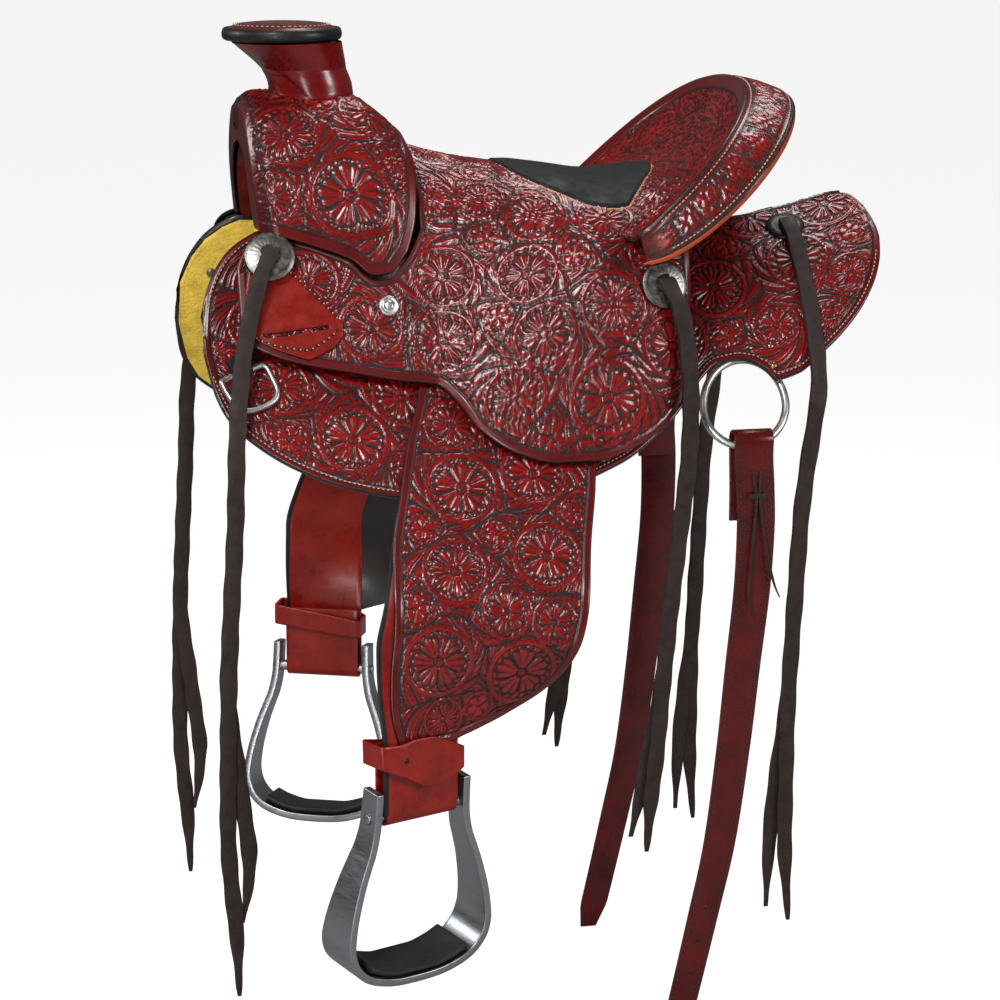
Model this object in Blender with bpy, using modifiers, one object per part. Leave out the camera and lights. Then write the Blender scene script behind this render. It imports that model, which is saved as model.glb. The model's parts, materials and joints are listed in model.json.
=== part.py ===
"""Western saddle: tree, leathers, rigging, fenders and stirrups as separate named parts, in metres.

+X points to the horse's tail, +Y to the off (right) side and +Z up. The origin is on the middle line, at the ridge
where the inner faces of the two skirts meet over the horse's back.
"""
import math

import bmesh
import bpy
import numpy as np
from mathutils import Matrix, Vector

# ---------------------------------------------------------------- driving dimensions

SKIRT_THICK = .0050
LINING_THICK = .0070
SEAT_THICK = .0032
HORN_CAP_X, HORN_CAP_Z = -.226, .2058
REAR_RING_X, REAR_RING_T = .221, .231
REAR_RING_R, REAR_RING_TOP, RING_WIRE = .0435, .0515, .0040
DEE_AT, DEE_OFF, DEE_TURN = (-.2915, .178), .0110, math.radians(24)
BILLET_THICK, BILLET_DROP = .0032, .635
FENDER_HINGE_X, FENDER_HINGE_T = -.100, .165
BOLT_Z, STIRRUP_LEAN = -.526, math.radians(-7)
STIRRUP_STRIP, TREAD_THICK = .0085, .0075
HOBBLE_TOP = [(-.054, -.4500), (-.030, -.4516), (-.012, -.4488), (.006, -.4490), (.024, -.4553), (.0445, -.4660)]
HOBBLE_LOW = [(-.054, -.4720), (-.024, -.4859), (-.0066, -.4954), (.002, -.4985), (.021, -.4976), (.0445, -.4870)]
LEATHER_WIDE = .084
LEATHER_X = [(.147, -.064), (.206, -.075), (.254, -.090), (.314, -.106), (.37, -.119), (.42, -.131), (.46, -.141), (.70, -.1425)]
STRING_THICK, STRING_GAP, STRING_RISE = .0024, .0040, .0106
FRONT_CONCHO_FACE = (-.05, .90, .43)

# ---------------------------------------------------------------- surfaces

RAD = math.radians

# drape: the curved sheet that the skirts follow on each side of the backbone
SLOPE_TOP, SLOPE_SIDE, SLOPE_RUN = RAD(27), RAD(56), 0.16
BEND_FROM, BEND_TO = 0.40, 0.46      # where a fender turns to hang plumb
_T = np.linspace(0.0, 1.2, 2401)


def slope_skirt(t):
    s = np.clip(t / SLOPE_RUN, 0, 1)
    return SLOPE_TOP + (SLOPE_SIDE - SLOPE_TOP) * s * s * (3 - 2 * s)


def slope_fender(t):
    s = np.clip((t - BEND_FROM) / (BEND_TO - BEND_FROM), 0, 1)
    return slope_skirt(t) + (RAD(90) - SLOPE_SIDE) * s * s * (3 - 2 * s)


def _run(slope):
    mid = slope((_T[1:] + _T[:-1]) / 2)
    step = _T[1] - _T[0]
    return (np.concatenate([[0], np.cumsum(np.cos(mid)) * step]),
            np.concatenate([[0], -np.cumsum(np.sin(mid)) * step]))


_SKIRT, _FENDER = _run(slope_skirt), _run(slope_fender)


def rock(x):
    """Rise of the skirts towards the front and the rear ends."""
    return 0.35 * np.maximum(0, -x - 0.18) ** 2 + 0.6 * np.maximum(0, x - 0.12) ** 2


def drape(x, t, off=0.0, hang=False):
    """Point at x, arc length t from the ridge, off metres out of the sheet; y is positive here."""
    x, t = np.asarray(x, float) + 0 * np.asarray(t, float), np.asarray(t, float) + 0 * np.asarray(x, float)
    run, slope = (_FENDER, slope_fender) if hang else (_SKIRT, slope_skirt)
    a = slope(t)
    return np.stack([x, np.interp(t, _T, run[0]) + off * np.sin(a),
                     np.interp(t, _T, run[1]) + (0 if hang else 1) * rock(x) + off * np.cos(a)], -1)


def slope_front(t):
    return RAD(72) + (SLOPE_SIDE - RAD(72)) * np.clip((t - .10) / (SLOPE_RUN - .10), 0, 1) ** 1.3


_FRONT = _run(slope_front)


def skirt_at(x, t, off=0.0):
    """The skirt: the drape, which at the front stands up against the side of the fork."""
    p = drape(x, t, off)
    x, t = p[..., 0], np.asarray(t, float) + 0 * p[..., 0]
    g = np.clip((-x - .195) / .05, 0, 1)
    g = g * g * (3 - 2 * g)
    tt = np.minimum(t, SLOPE_RUN)
    a = slope_front(tt)
    base = drape(x, SLOPE_RUN + 0 * t)
    y = base[..., 1] - (np.interp(SLOPE_RUN, _T, _FRONT[0]) - np.interp(tt, _T, _FRONT[0])) + off * np.sin(a)
    z = base[..., 2] - (np.interp(SLOPE_RUN, _T, _FRONT[1]) - np.interp(tt, _T, _FRONT[1])) + off * np.cos(a)
    g = np.where(t < SLOPE_RUN, g, 0)
    return np.stack([x, p[..., 1] + (y - p[..., 1]) * g, p[..., 2] + (z - p[..., 2]) * g], -1)


def curve(table, x):
    """Smooth curve (monotone cubic) through the (x, value) pairs of table."""
    X = np.array([p[0] for p in table], float)
    Y = np.array([p[1] for p in table], float)
    h, d = np.diff(X), np.diff(Y) / np.diff(X)
    m = np.zeros_like(Y)
    m[0], m[-1] = d[0], d[-1]
    both = d[:-1] * d[1:] > 0
    w1, w2 = 2 * h[1:] + h[:-1], h[1:] + 2 * h[:-1]
    inner = np.where(both, (w1 + w2) / (w1 / np.where(both, d[:-1], 1) + w2 / np.where(both, d[1:], 1)), 0)
    m[1:-1] = inner
    x = np.clip(np.asarray(x, float), X[0], X[-1])
    k = np.clip(np.searchsorted(X, x) - 1, 0, len(h) - 1)
    s = (x - X[k]) / h[k]
    return ((1 + 2 * s) * (1 - s) ** 2 * Y[k] + s * (1 - s) ** 2 * h[k] * m[k]
            + s * s * (3 - 2 * s) * Y[k + 1] + s * s * (s - 1) * h[k] * m[k + 1])


# skirt outline, as arc length against x
SKIRT_LOW = [(-.3265, .158), (-.319, .201), (-.308, .227), (-.281, .255), (-.244, .279), (-.197, .299), (-.148, .311),
             (-.08, .318), (0, .312), (.08, .285), (.13, .250), (.157, .223), (.178, .198), (.197, .184), (.215, .1825),
             (.233, .188), (.245, .199), (.256, .213), (.280, .210), (.304, .197), (.340, .173), (.367, .145), (.384, .112), (.389, .088)]
SKIRT_TOP = [(-.3265, .138), (-.325, .114), (-.321, .095), (-.311, .0705), (-.296, .049), (-.277, .034), (-.262, .027), (-.245, .027), (-.225, .034), (-.200, .026), (-.175, .008), (-.15, .004), (.35, .002), (.372, .010), (.384, .036), (.389, .072)]

# seat: sections across the saddle, each a cubic from the middle line to the edge of the jockey
SEAT_MID = [(-.30, .105), (-.16, .112), (-.118, .108), (-.105, .100), (-.074, .090), (-.011, .078), (.05, .069), (.08, .064), (.12, .058)]
SEAT_Y1 = [(-.30, .045), (-.118, .045), (-.05, .075), (.02, .120), (.08, .145), (.12, .15)]
SEAT_Y2 = [(-.30, .085), (-.118, .10), (-.05, .125), (.02, .165), (.08, .198), (.16, .195)]
SEAT_Z2 = [(-.30, .060), (-.118, .045), (-.05, .050), (.02, .045), (.08, .030), (.16, .010)]
JOCKEY_LOW = [(-.306, .118), (-.300, .130), (-.290, .146), (-.254, .166), (-.225, .174), (-.191, .181), (-.137, .193), (-.100, .199), (-.084, .216),
              (-.063, .250), (-.026, .278), (.013, .289), (.054, .288), (.097, .273), (.132, .248), (.150, .216), (.157, .186)]
SEAT_OFF = .0205                      # outer face of the jockey at its lower edge, out of the skirt's inner face


def seat_section(x, v):
    x, v = np.asarray(x, float) + 0 * np.asarray(v, float), np.asarray(v, float) + 0 * np.asarray(x, float)
    edge = drape(x, curve(JOCKEY_LOW, x), SEAT_OFF)
    zc, y1, y2, z2 = curve(SEAT_MID, x), curve(SEAT_Y1, x), curve(SEAT_Y2, x), curve(SEAT_Z2, x)
    b0, b1, b2, b3 = (1 - v) ** 3, 3 * v * (1 - v) ** 2, 3 * v * v * (1 - v), v ** 3
    return np.stack([x, b1 * y1 + b2 * y2 + b3 * edge[..., 1], (b0 + b1) * zc + b2 * z2 + b3 * edge[..., 2]], -1)


# cantle: crest where the dish meets the roll, and the outer edge of the roll; p runs from 0 at the top to 1 at the near end
DISH_FROM, DISH_V = .08, .50          # x and v where the dish leaves the seat


def crest(p):
    c, s = np.cos(p * math.pi / 2).clip(0), np.sin(p * math.pi / 2).clip(0)
    return np.stack([.099 + .147 * c ** .68, .186 * s ** .89, .022 + .140 * c ** .72], -1)


def roll_edge(p):
    c, s = np.cos(p * math.pi / 2).clip(0), np.sin(p * math.pi / 2).clip(0)
    return np.stack([.101 + .188 * c ** .616, .208 * s ** .61, -.003 + .153 * c ** .93], -1)


def dish(u, v):
    """u from 0 on the seat to 1 at the crest, v from 0 at the middle to 1 at the side."""
    u, v = np.asarray(u, float) + 0 * np.asarray(v, float), np.asarray(v, float) + 0 * np.asarray(u, float)
    a = seat_section(DISH_FROM, v * DISH_V)
    step = 1e-3
    ta = (a - seat_section(DISH_FROM - step, v * DISH_V)) / step
    b = crest(v)
    span = np.linalg.norm(b - a, axis=-1)[..., None]
    tb = np.stack([.35 + 0 * v, .55 * v, .95 - .25 * v], -1)
    tb = tb / np.linalg.norm(tb, axis=-1)[..., None]
    u = u[..., None]
    return ((1 + 2 * u) * (1 - u) ** 2 * a + u * (1 - u) ** 2 * span * 1.15 * ta
            + u * u * (3 - 2 * u) * b + u * u * (u - 1) * span * 1.15 * tb)


# swell: a runs from 0 at the top to 1 at the lower border, w from 0 at the front edge to 1 at the rear edge
SWELL_Y = [(0, 0), (.2, .040), (.45, .078), (.7, .098), (1, .112), (1.1, .117)]
SWELL_Z = [(0, .156), (.2, .149), (.45, .112), (.7, .062), (1, -.004), (1.1, -.027)]
SWELL_END = [(0, .87), (.3, .93), (.6, 1.0), (.8, 1.07), (.92, 1.06), (1, .97)]   # lower border, as a against w
SWELL_FRONT = [(0, -.274), (.5, -.272), (1, -.262)]
SWELL_REAR = [(0, -.118), (.35, -.110), (.6, -.105), (.8, -.108), (1.06, -.126)]
SWELL_DROP = [(0, .047), (.3, .036), (.6, .014), (1, .004)]
GULLET_Y = [(0, 0), (.25, .035), (.5, .055), (1, .066)]
GULLET_Z = [(0, .100), (.25, .090), (.5, .062), (1, -.012)]


def swell(w, a, inset=0.0):
    w, a = np.asarray(w, float) + 0 * np.asarray(a, float), np.asarray(a, float) + 0 * np.asarray(w, float)
    y, z = curve(SWELL_Y, a), curve(SWELL_Z, a)
    e = 1e-3
    dy, dz = curve(SWELL_Y, a + e) - curve(SWELL_Y, a - e), curve(SWELL_Z, a + e) - curve(SWELL_Z, a - e)
    n = np.hypot(dy, dz) + 1e-12
    ny, nz = -dz / n, dy / n
    ny, nz = np.where(a < 1e-6, 0, ny), np.where(a < 1e-6, 1, nz)
    x0, x1 = curve(SWELL_FRONT, a), curve(SWELL_REAR, a)
    drop = .012 * np.clip(1 - w / .12, 0, 1) ** 2 + curve(SWELL_DROP, a) * np.clip((w - .62) / .38, 0, 1) ** 2
    # the leather slopes down from the middle towards the rear of the fork
    return np.stack([x0 + (x1 - x0) * w, y - (drop + inset) * ny, z - (drop + inset) * nz], -1)


def gullet(w, a):
    w, a = np.asarray(w, float) + 0 * np.asarray(a, float), np.asarray(a, float) + 0 * np.asarray(w, float)
    x0, x1 = curve(SWELL_FRONT, a) + .002, -.150
    return np.stack([x0 + (x1 - x0) * w, curve(GULLET_Y, a), curve(GULLET_Z, a)], -1)


FENDER_FRONT = [(.175, -.112), (.206, -.119), (.254, -.135), (.314, -.150), (.37, -.163), (.45, -.170), (.52, -.176), (.568, -.168)]
FENDER_REAR = [(.175, .060), (.206, .060), (.254, .057), (.314, .048), (.37, .036), (.45, .022), (.49, .008), (.52, -.012), (.543, -.049), (.553, -.078), (.5605, -.106), (.568, -.115)]
TWIST_AT = (-.1435, .2765)
TWIST_FROM, TWIST_TO, YAW = -.36, -.47, RAD(24)


def twist(p):
    """The fender and the stirrup leather turn together to set the stirrup at its angle."""
    s = np.clip((TWIST_FROM - p[..., 2]) / (TWIST_FROM - TWIST_TO), 0, 1)
    g = YAW * s * s * (3 - 2 * s)
    dx, dy = p[..., 0] - TWIST_AT[0], p[..., 1] - TWIST_AT[1]
    return np.stack([TWIST_AT[0] + dx * np.cos(g) + dy * np.sin(g), TWIST_AT[1] - dx * np.sin(g) + dy * np.cos(g), p[..., 2]], -1)


# ---------------------------------------------------------------- scene and helpers

for old in list(bpy.data.objects):
    bpy.data.objects.remove(old, do_unlink=True)

saddle = bpy.data.collections.new("western_saddle")
cutters = bpy.data.collections.new("cutters")
bpy.context.scene.collection.children.link(saddle)
bpy.context.scene.collection.children.link(cutters)

SIDES = {"near": -1, "off": 1}       # the near side is the horse's left, -Y


def material(name, colour, roughness, metallic=0.0):
    m = bpy.data.materials.get(name)
    if m is None:
        m = bpy.data.materials.new(name)
        m.use_nodes = True
        s = m.node_tree.nodes["Principled BSDF"]
        s.inputs["Base Color"].default_value = (*colour, 1)
        s.inputs["Roughness"].default_value = roughness
        s.inputs["Metallic"].default_value = metallic
        m.diffuse_color = (*colour, 1)
    return m


TOOLED = material("tooled_leather", (.20, .022, .012), .42)
PLAIN = material("plain_leather", (.36, .045, .015), .45)
LINING = material("lining", (.80, .52, .06), .9)
BLACK = material("black_leather", (.012, .012, .014), .5)
STRING = material("string_leather", (.055, .040, .035), .55)
BRIDLE = material("strap_leather", (.17, .02, .012), .4)
WOOD = material("tree_wood", (.55, .38, .20), .7)
STEEL = material("steel", (.62, .62, .62), .28, 1)
SILVER = material("silver", (.70, .69, .66), .3, 1)
ALUMINIUM = material("aluminium", (.72, .73, .75), .32, 1)
RUBBER = material("tread_rubber", (.02, .02, .02), .8)


def add(name, mesh, mat, origin=None, smooth=True, collection=saddle):
    ob = bpy.data.objects.new(name, mesh)
    collection.objects.link(ob)
    if mat:
        mesh.materials.append(mat)
    if origin is not None:
        mesh.transform(Matrix.Translation(-Vector(origin)))
        ob.location = origin
    if smooth:
        mesh.shade_smooth()
    return ob


def offset(fn, d):
    """The surface fn moved d metres along its own normal (towards +y and +z)."""
    def moved(u, v):
        e = 1e-3
        p = fn(u, v)
        u0, u1, v0, v1 = u - e, u + e, np.clip(v - e, 0, None), v + e
        n = np.cross(fn(u1, v) - fn(u0, v), fn(u, v1) - fn(u, v0))
        n = n / (np.linalg.norm(n, axis=-1)[..., None] + 1e-15)
        n = n * moved.sign
        n[..., 1] = np.where(p[..., 1] < 1e-7, 0, n[..., 1])
        return p + d * n
    moved.sign = 1
    probe = np.cross(fn(np.array([.501]), np.array([.5])) - fn(np.array([.5]), np.array([.5])),
                     fn(np.array([.5]), np.array([.501])) - fn(np.array([.5]), np.array([.5])))[0]
    moved.sign = 1 if probe[1] + probe[2] > 0 else -1
    return moved


def patch(bm, fn, us, vs, skip=None):
    """A grid whose columns stand at us and rows at vs, laid on the surface fn."""
    us, vs = np.array(us, float), np.array(vs, float)
    before = set(bm.verts)
    bmesh.ops.create_grid(bm, x_segments=len(us) - 1, y_segments=len(vs) - 1, size=1.0)
    new = [v for v in bm.verts if v not in before]
    ij = [((v.co.x + 1) / 2 * (len(us) - 1), (v.co.y + 1) / 2 * (len(vs) - 1)) for v in new]
    if skip:
        faces = {f for v in new for f in v.link_faces}
        gone = []
        for f in faces:
            c = f.calc_center_median()
            i, j = (c.x + 1) / 2 * (len(us) - 1), (c.y + 1) / 2 * (len(vs) - 1)
            if skip(np.interp(i, range(len(us)), us), np.interp(j, range(len(vs)), vs)):
                gone.append(f)
        bmesh.ops.delete(bm, geom=gone, context="FACES")
        keep = [(v, q) for v, q in zip(new, ij) if v.is_valid]
        new, ij = [k[0] for k in keep], [k[1] for k in keep]
    u = us[np.round([q[0] for q in ij]).astype(int)]
    w = vs[np.round([q[1] for q in ij]).astype(int)]
    for v, p in zip(new, fn(u, w)):
        v.co = p


def sheet(name, mat, patches, thick, side=None, out=(0, 1, .6), inward=False, origin=None, mirror=False, weld=True, centred=False):
    """Leather cut to the given patches, with Solidify for its thickness. side mirrors it to -y or +y."""
    bm = bmesh.new()
    for p in patches:
        patch(bm, *p)
    if weld:
        bmesh.ops.remove_doubles(bm, verts=bm.verts, dist=2e-5)
    bmesh.ops.recalc_face_normals(bm, faces=bm.faces)
    want = Vector(out)
    if sum(f.normal.dot(want) * f.calc_area() for f in bm.faces) < 0:
        bmesh.ops.reverse_faces(bm, faces=bm.faces)
    if side is not None and side < 0:
        for v in bm.verts:
            v.co.y = -v.co.y
        bmesh.ops.reverse_faces(bm, faces=bm.faces)
    mesh = bpy.data.meshes.new(name)
    bm.to_mesh(mesh)
    bm.free()
    ob = add(name, mesh, mat, origin)
    if mirror:
        m = ob.modifiers.new("Mirror", "MIRROR")
        m.use_axis = (False, True, False)
        m.merge_threshold = 1e-4
    s = ob.modifiers.new("Solidify", "SOLIDIFY")
    s.thickness = thick
    s.offset = 0 if centred else (-1 if inward else 1)
    s.use_even_offset = False
    return ob


def mirrored(p, side):
    return Vector((p[0], side * p[1], p[2]))


def frame_of(normal):
    """Rotation whose z axis is normal."""
    z = Vector(normal).normalized()
    up = (1, 0, 0) if abs(z.z) > .9 else (0, 0, 1)
    x = Vector(up).cross(z).normalized()
    return Matrix((x, z.cross(x), z)).transposed().to_4x4()


def turned(name, mat, profile, place, normal, steps=24, origin=None):
    """A Screw of the (radius, height) profile, standing at place with its axis along normal."""
    bm = bmesh.new()
    verts = [bm.verts.new((r, 0, h)) for r, h in profile]
    for a, b in zip(verts, verts[1:]):
        bm.edges.new((a, b))
    if profile[0][0] > 0:
        bm.edges.new((verts[-1], verts[0]))
    mesh = bpy.data.meshes.new(name)
    bm.to_mesh(mesh)
    bm.free()
    ob = add(name, mesh, mat)
    s = ob.modifiers.new("Screw", "SCREW")
    s.steps = s.render_steps = steps
    s.use_merge_vertices = True
    s.merge_threshold = 1e-5
    ob.matrix_world = Matrix.Translation(Vector(place)) @ frame_of(normal)
    return ob


def loop_wire(name, mat, points, radius, origin=None, cyclic=True):
    """A bent wire through points."""
    data = bpy.data.curves.new(name, "CURVE")
    data.dimensions = "3D"
    data.bevel_depth = radius
    data.bevel_resolution = 2
    data.use_fill_caps = not cyclic
    s = data.splines.new("POLY")
    s.points.add(len(points) - 1)
    o = Vector(origin) if origin is not None else Vector((0, 0, 0))
    for q, p in zip(s.points, points):
        q.co = (*(Vector(p) - o), 1)
    s.use_cyclic_u = cyclic
    data.materials.append(mat)
    ob = bpy.data.objects.new(name, data)
    ob.location = o
    saddle.objects.link(ob)
    return ob


def loft(name, mat, rings, origin=None):
    """A solid through closed sections, with its first and last section as end faces."""
    bm = bmesh.new()
    loops = []
    for ring in rings:
        vs = [bm.verts.new(p) for p in ring]
        loops.append([bm.edges.new((vs[i], vs[(i + 1) % len(vs)])) for i in range(len(vs))])
    for a, b in zip(loops, loops[1:]):
        bmesh.ops.bridge_loops(bm, edges=a + b)
    bmesh.ops.contextual_create(bm, geom=loops[0])
    bmesh.ops.contextual_create(bm, geom=loops[-1])
    bmesh.ops.triangulate(bm, faces=[f for f in bm.faces if len(f.verts) > 4])
    bmesh.ops.recalc_face_normals(bm, faces=bm.faces)
    mesh = bpy.data.meshes.new(name)
    bm.to_mesh(mesh)
    bm.free()
    return add(name, mesh, mat, origin, smooth=False)


def smooth_path(points, step):
    """Points step apart along a Catmull-Rom curve through the given points."""
    P = np.array(points, float)
    P = np.vstack([2 * P[0] - P[1], P, 2 * P[-1] - P[-2]])
    fine = []
    for k in range(1, len(P) - 2):
        s = np.linspace(0, 1, 24, endpoint=False)[:, None]
        a, b, c, d = P[k - 1], P[k], P[k + 1], P[k + 2]
        fine.append(.5 * (2 * b + (c - a) * s + (2 * a - 5 * b + 4 * c - d) * s ** 2 + (3 * b - a - 3 * c + d) * s ** 3))
    fine = np.vstack(fine + [P[-2:-1]])
    run = np.concatenate([[0], np.cumsum(np.linalg.norm(np.diff(fine, axis=0), axis=1))])
    n = max(2, int(round(run[-1] / step)) + 1)
    at = np.linspace(0, run[-1], n)
    return np.stack([np.interp(at, run, fine[:, k]) for k in range(3)], -1)


def strap(name, mat, path, width, thick, across=(1, 0, 0), side=1, origin=None, warp=None):
    """A flat strap whose middle line is path; width is a number or a function of the part of the length."""
    P = np.array(path, float)
    run = np.concatenate([[0], np.cumsum(np.linalg.norm(np.diff(P, axis=0), axis=1))])
    part = run / run[-1]
    W = np.array([width(s) for s in part]) if callable(width) else np.full(len(P), float(width))
    A = np.array(across, float)
    A = np.repeat(A[None], len(P), 0) if A.ndim == 1 else A

    def fn(u, v):
        i = np.round(u * (len(P) - 1)).astype(int)
        q = P[i] + A[i] * (W[i] * (v - .5))[:, None]
        return warp(q) if warp else q
    bm = bmesh.new()
    patch(bm, fn, np.linspace(0, 1, len(P)), [0, 1])
    bmesh.ops.recalc_face_normals(bm, faces=bm.faces)
    if side < 0:
        for v in bm.verts:
            v.co.y = -v.co.y
        bmesh.ops.reverse_faces(bm, faces=bm.faces)
    mesh = bpy.data.meshes.new(name)
    bm.to_mesh(mesh)
    bm.free()
    ob = add(name, mesh, mat, origin)
    s = ob.modifiers.new("Solidify", "SOLIDIFY")
    s.thickness, s.offset = thick, 0
    return ob


# ---------------------------------------------------------------- skirts, linings, bars

COLS = [-.3265, -.3225, -.312, -.298, -.280, -.262, -.245, -.225, -.205, -.18, -.14, -.08, -.02, .04, .09, .13, .155, .175, .19, .205, .222, .238, .252, .27, .295, .325, .352, .374, .389]
ROWS = [0, .1, .2, .32, .45, .6, .8, 1]


def between(top, low, off, margin=0.0):
    def fn(x, s):
        a, b = curve(top, x) + margin, curve(low, x) - margin
        return skirt_at(x, a + (b - a) * s, off)
    return fn


LINING_LOW = [(-.323, .160), (-.314, .200), (-.300, .230), (-.275, .252), (-.244, .273), (-.197, .293), (-.148, .304), (-.105, .304),
              (-.098, .268), (-.002, .268), (.005, .300), (.08, .279), (.13, .244), (.150, .218), (.163, .160), (.283, .160),
              (.290, .195), (.304, .191), (.340, .167), (.367, .139), (.384, .100)]
LINING_COLS = [-.323, -.312, -.298, -.280, -.262, -.245, -.225, -.205, -.18, -.14, -.105, -.098, -.05, -.002, .005, .06, .11, .150, .163, .2, .24, .283, .290, .32, .35, .372, .380]

for word, side in SIDES.items():
    sheet("skirt_" + word, TOOLED, [(between(SKIRT_TOP, SKIRT_LOW, 0), COLS, ROWS)], SKIRT_THICK, side)
    sheet("skirt_lining_" + word, LINING, [(between(SKIRT_TOP, LINING_LOW, -.0015, .0045), LINING_COLS, ROWS)], LINING_THICK, side, inward=True)
    sheet("tree_bar_" + word, WOOD, [(lambda x, t: drape(x, t, .0075), np.linspace(-.185, .150, 8), [.045, .066, .086, .106, .126])], .017, side)

# ---------------------------------------------------------------- fork, swell cover, gullet

fork_rings = []
for a in (-.79, -.68, -.55, -.4, -.25, -.12, 0, .12, .25, .4, .55, .68, .79):
    b, sgn = abs(a), (1 if a >= 0 else -1)
    inset = .0056 + .005 * max(0, b - .7)
    outer = [swell(w, b, inset) for w in (.07, .3, .6, .78, .93)]
    inner = [offset(gullet, .0032)(np.array([w]), np.array([b]))[0] for w in (.93, .5, .04)]
    outer[-1] = outer[-1] - np.array([.004, 0, 0])
    fork_rings.append([(p[0], sgn * p[1], p[2]) for p in outer + inner])
loft("tree_fork", WOOD, fork_rings)


def swell_cover(w, a):
    end = curve(SWELL_END, np.clip(w, 0, 1))
    face = swell(np.clip(w, 0, 1), a * end)
    lip = gullet(0 * w, np.minimum(a, 1) * .76)
    lip = lip + np.array([-.002, 0, 0])
    s = np.clip(-w, 0, 1)[..., None]
    return face + (lip - face) * s


sheet("swell_cover", TOOLED, [(swell_cover, [-.82, -.4, 0, .05, .14, .32, .5, .67, .8, .9, 1], [0, .14, .27, .4, .52, .64, .76, .88, 1],
                               lambda w, a: .32 < w < .67 and a < .14)], .003, out=(0, .6, 1), inward=True, mirror=True)
sheet("gullet_lining", PLAIN, [(gullet, [.03, .5, .93], [0, .12, .25, .4, .55, .68, .76])], .0024, out=(0, .6, 1), mirror=True)

# ---------------------------------------------------------------- horn

HORN_LEAN = [(.145, -.197), (.160, -.1975), (.175, -.203), (.187, -.2095), (.198, -.217), (.2055, -.2218)]
WRAP_R = [(.150, .0440), (.160, .0428), (.175, .0425), (.187, .0470), (.198, .0525), (.205, .0560)]


def horn_ring(z, r, n=20):
    c = float(curve(HORN_LEAN, z))
    return [(c + r * math.cos(2 * math.pi * k / n), r * math.sin(2 * math.pi * k / n), z) for k in range(n)]


loft("horn_post", WOOD, [horn_ring(.1522, .020), horn_ring(.1600, .020), horn_ring(.1620, .0360), horn_ring(.175, .0375),
                         horn_ring(.187, .042), horn_ring(.198, .0475), horn_ring(.2050, .050)])


def swell_height(x, y):
    """Height of the swell's top at x, y."""
    w = np.clip((x + .274) / .156, 0, 1)
    a = np.linspace(0, .6, 121)
    p = swell(np.full_like(a, w), a)
    return float(np.interp(abs(y), p[:, 1], p[:, 2]))


wrap = bmesh.new()
rings = []
for z in (.1520, .1620, .1700, .178, .188, .198, .2032):
    ring = horn_ring(z, float(curve(WRAP_R, z)), 24)
    if z < .165:
        low = {.1520: .0030, .1620: .0078}[z]
        ring = [(x, y, swell_height(x, y) + low) for x, y, _ in ring]
    vs = [wrap.verts.new(p) for p in ring]
    rings.append([wrap.edges.new((vs[i], vs[(i + 1) % 24])) for i in range(24)])
for a, b in zip(rings, rings[1:]):
    bmesh.ops.bridge_loops(wrap, edges=a + b)
bmesh.ops.recalc_face_normals(wrap, faces=wrap.faces)
if sum(f.normal.dot(f.calc_center_median() - Vector((-.205, 0, .18))) for f in wrap.faces) < 0:
    bmesh.ops.reverse_faces(wrap, faces=wrap.faces)
wrap_mesh = bpy.data.meshes.new("horn_wrap")
wrap.to_mesh(wrap_mesh)
wrap.free()
ob = add("horn_wrap", wrap_mesh, PLAIN)
s = ob.modifiers.new("Solidify", "SOLIDIFY")
s.thickness, s.offset = .003, -1

turned("horn_cap", TOOLED, [(0, .0185), (.024, .0185), (.040, .0172), (.050, .0145), (.0552, .0115), (.0552, .0010), (.050, .0006), (0, .0006)],
       (HORN_CAP_X, 0, HORN_CAP_Z), (0, 0, 1), 28)
turned("horn_binding", BLACK, [(.0558, .0128), (.0585, .0122), (.0603, .0095), (.0606, .0065), (.0603, .0035), (.0585, .0012), (.0558, .0004)],
       (HORN_CAP_X, 0, HORN_CAP_Z), (0, 0, 1), 28)

# ---------------------------------------------------------------- seat, ground seat, cantle

V_UP = [0, .13, .26, .38, .5, .62]
V_DOWN = [.62, .70, .78, .86, .93, 1]
NOTCH = [(-.291, .825), (-.286, .775), (-.280, .740), (-.272, .703), (-.264, .688), (-.249, .687), (-.234, .690), (-.219, .699), (-.205, .710), (-.191, .722), (-.178, .735), (-.166, .768), (-.153, .786), (-.139, .776), (-.128, .745), (-.118, .71), (-.110, .665), (-.104, .62)]


SEAT_FRONT = [(0, -.1165), (.13, -.1150), (.26, -.1085), (.38, -.1045), (.5, -.1030), (.62, -.104), (1, -.104)]


def front_jockey(x, s):
    n = curve(NOTCH, x)
    return seat_section(x, n + (1 - n) * s)


def seat_main(u, v):
    x = curve(SEAT_FRONT, v)
    return seat_section(x + (DISH_FROM - x) * u, v)


def rear_jockey(x, s):
    n = .50 + (x - DISH_FROM) * .9
    return seat_section(x, n + (1 - n) * s)


down = [(v - .62) / .38 for v in V_DOWN]
sheet("seat_leather", TOOLED, [
    (front_jockey, [-.291, -.286, -.279, -.270, -.26, -.235, -.205, -.18, -.166, -.153, -.14, -.128, -.118, -.110, -.104], down),
    (seat_main, [0, .09, .19, .31, .46, .64, .83, 1], V_UP + V_DOWN[1:]),
    (dish, [0, .17, .34, .5, .66, .82, 1], [v / DISH_V for v in V_UP[:5]]),
    (rear_jockey, [DISH_FROM, .095, .11, .135, .150, .157], [(v - .5) / .5 for v in [.5] + V_DOWN]),
], SEAT_THICK, inward=True, mirror=True, out=(0, .6, 1))
sheet("ground_seat", PLAIN, [(offset(seat_section, -.0042), [-.098, -.07, -.04, -.01, .03, .074], V_UP[:5])], .005, inward=True, mirror=True, out=(0, .3, 1))


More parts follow.
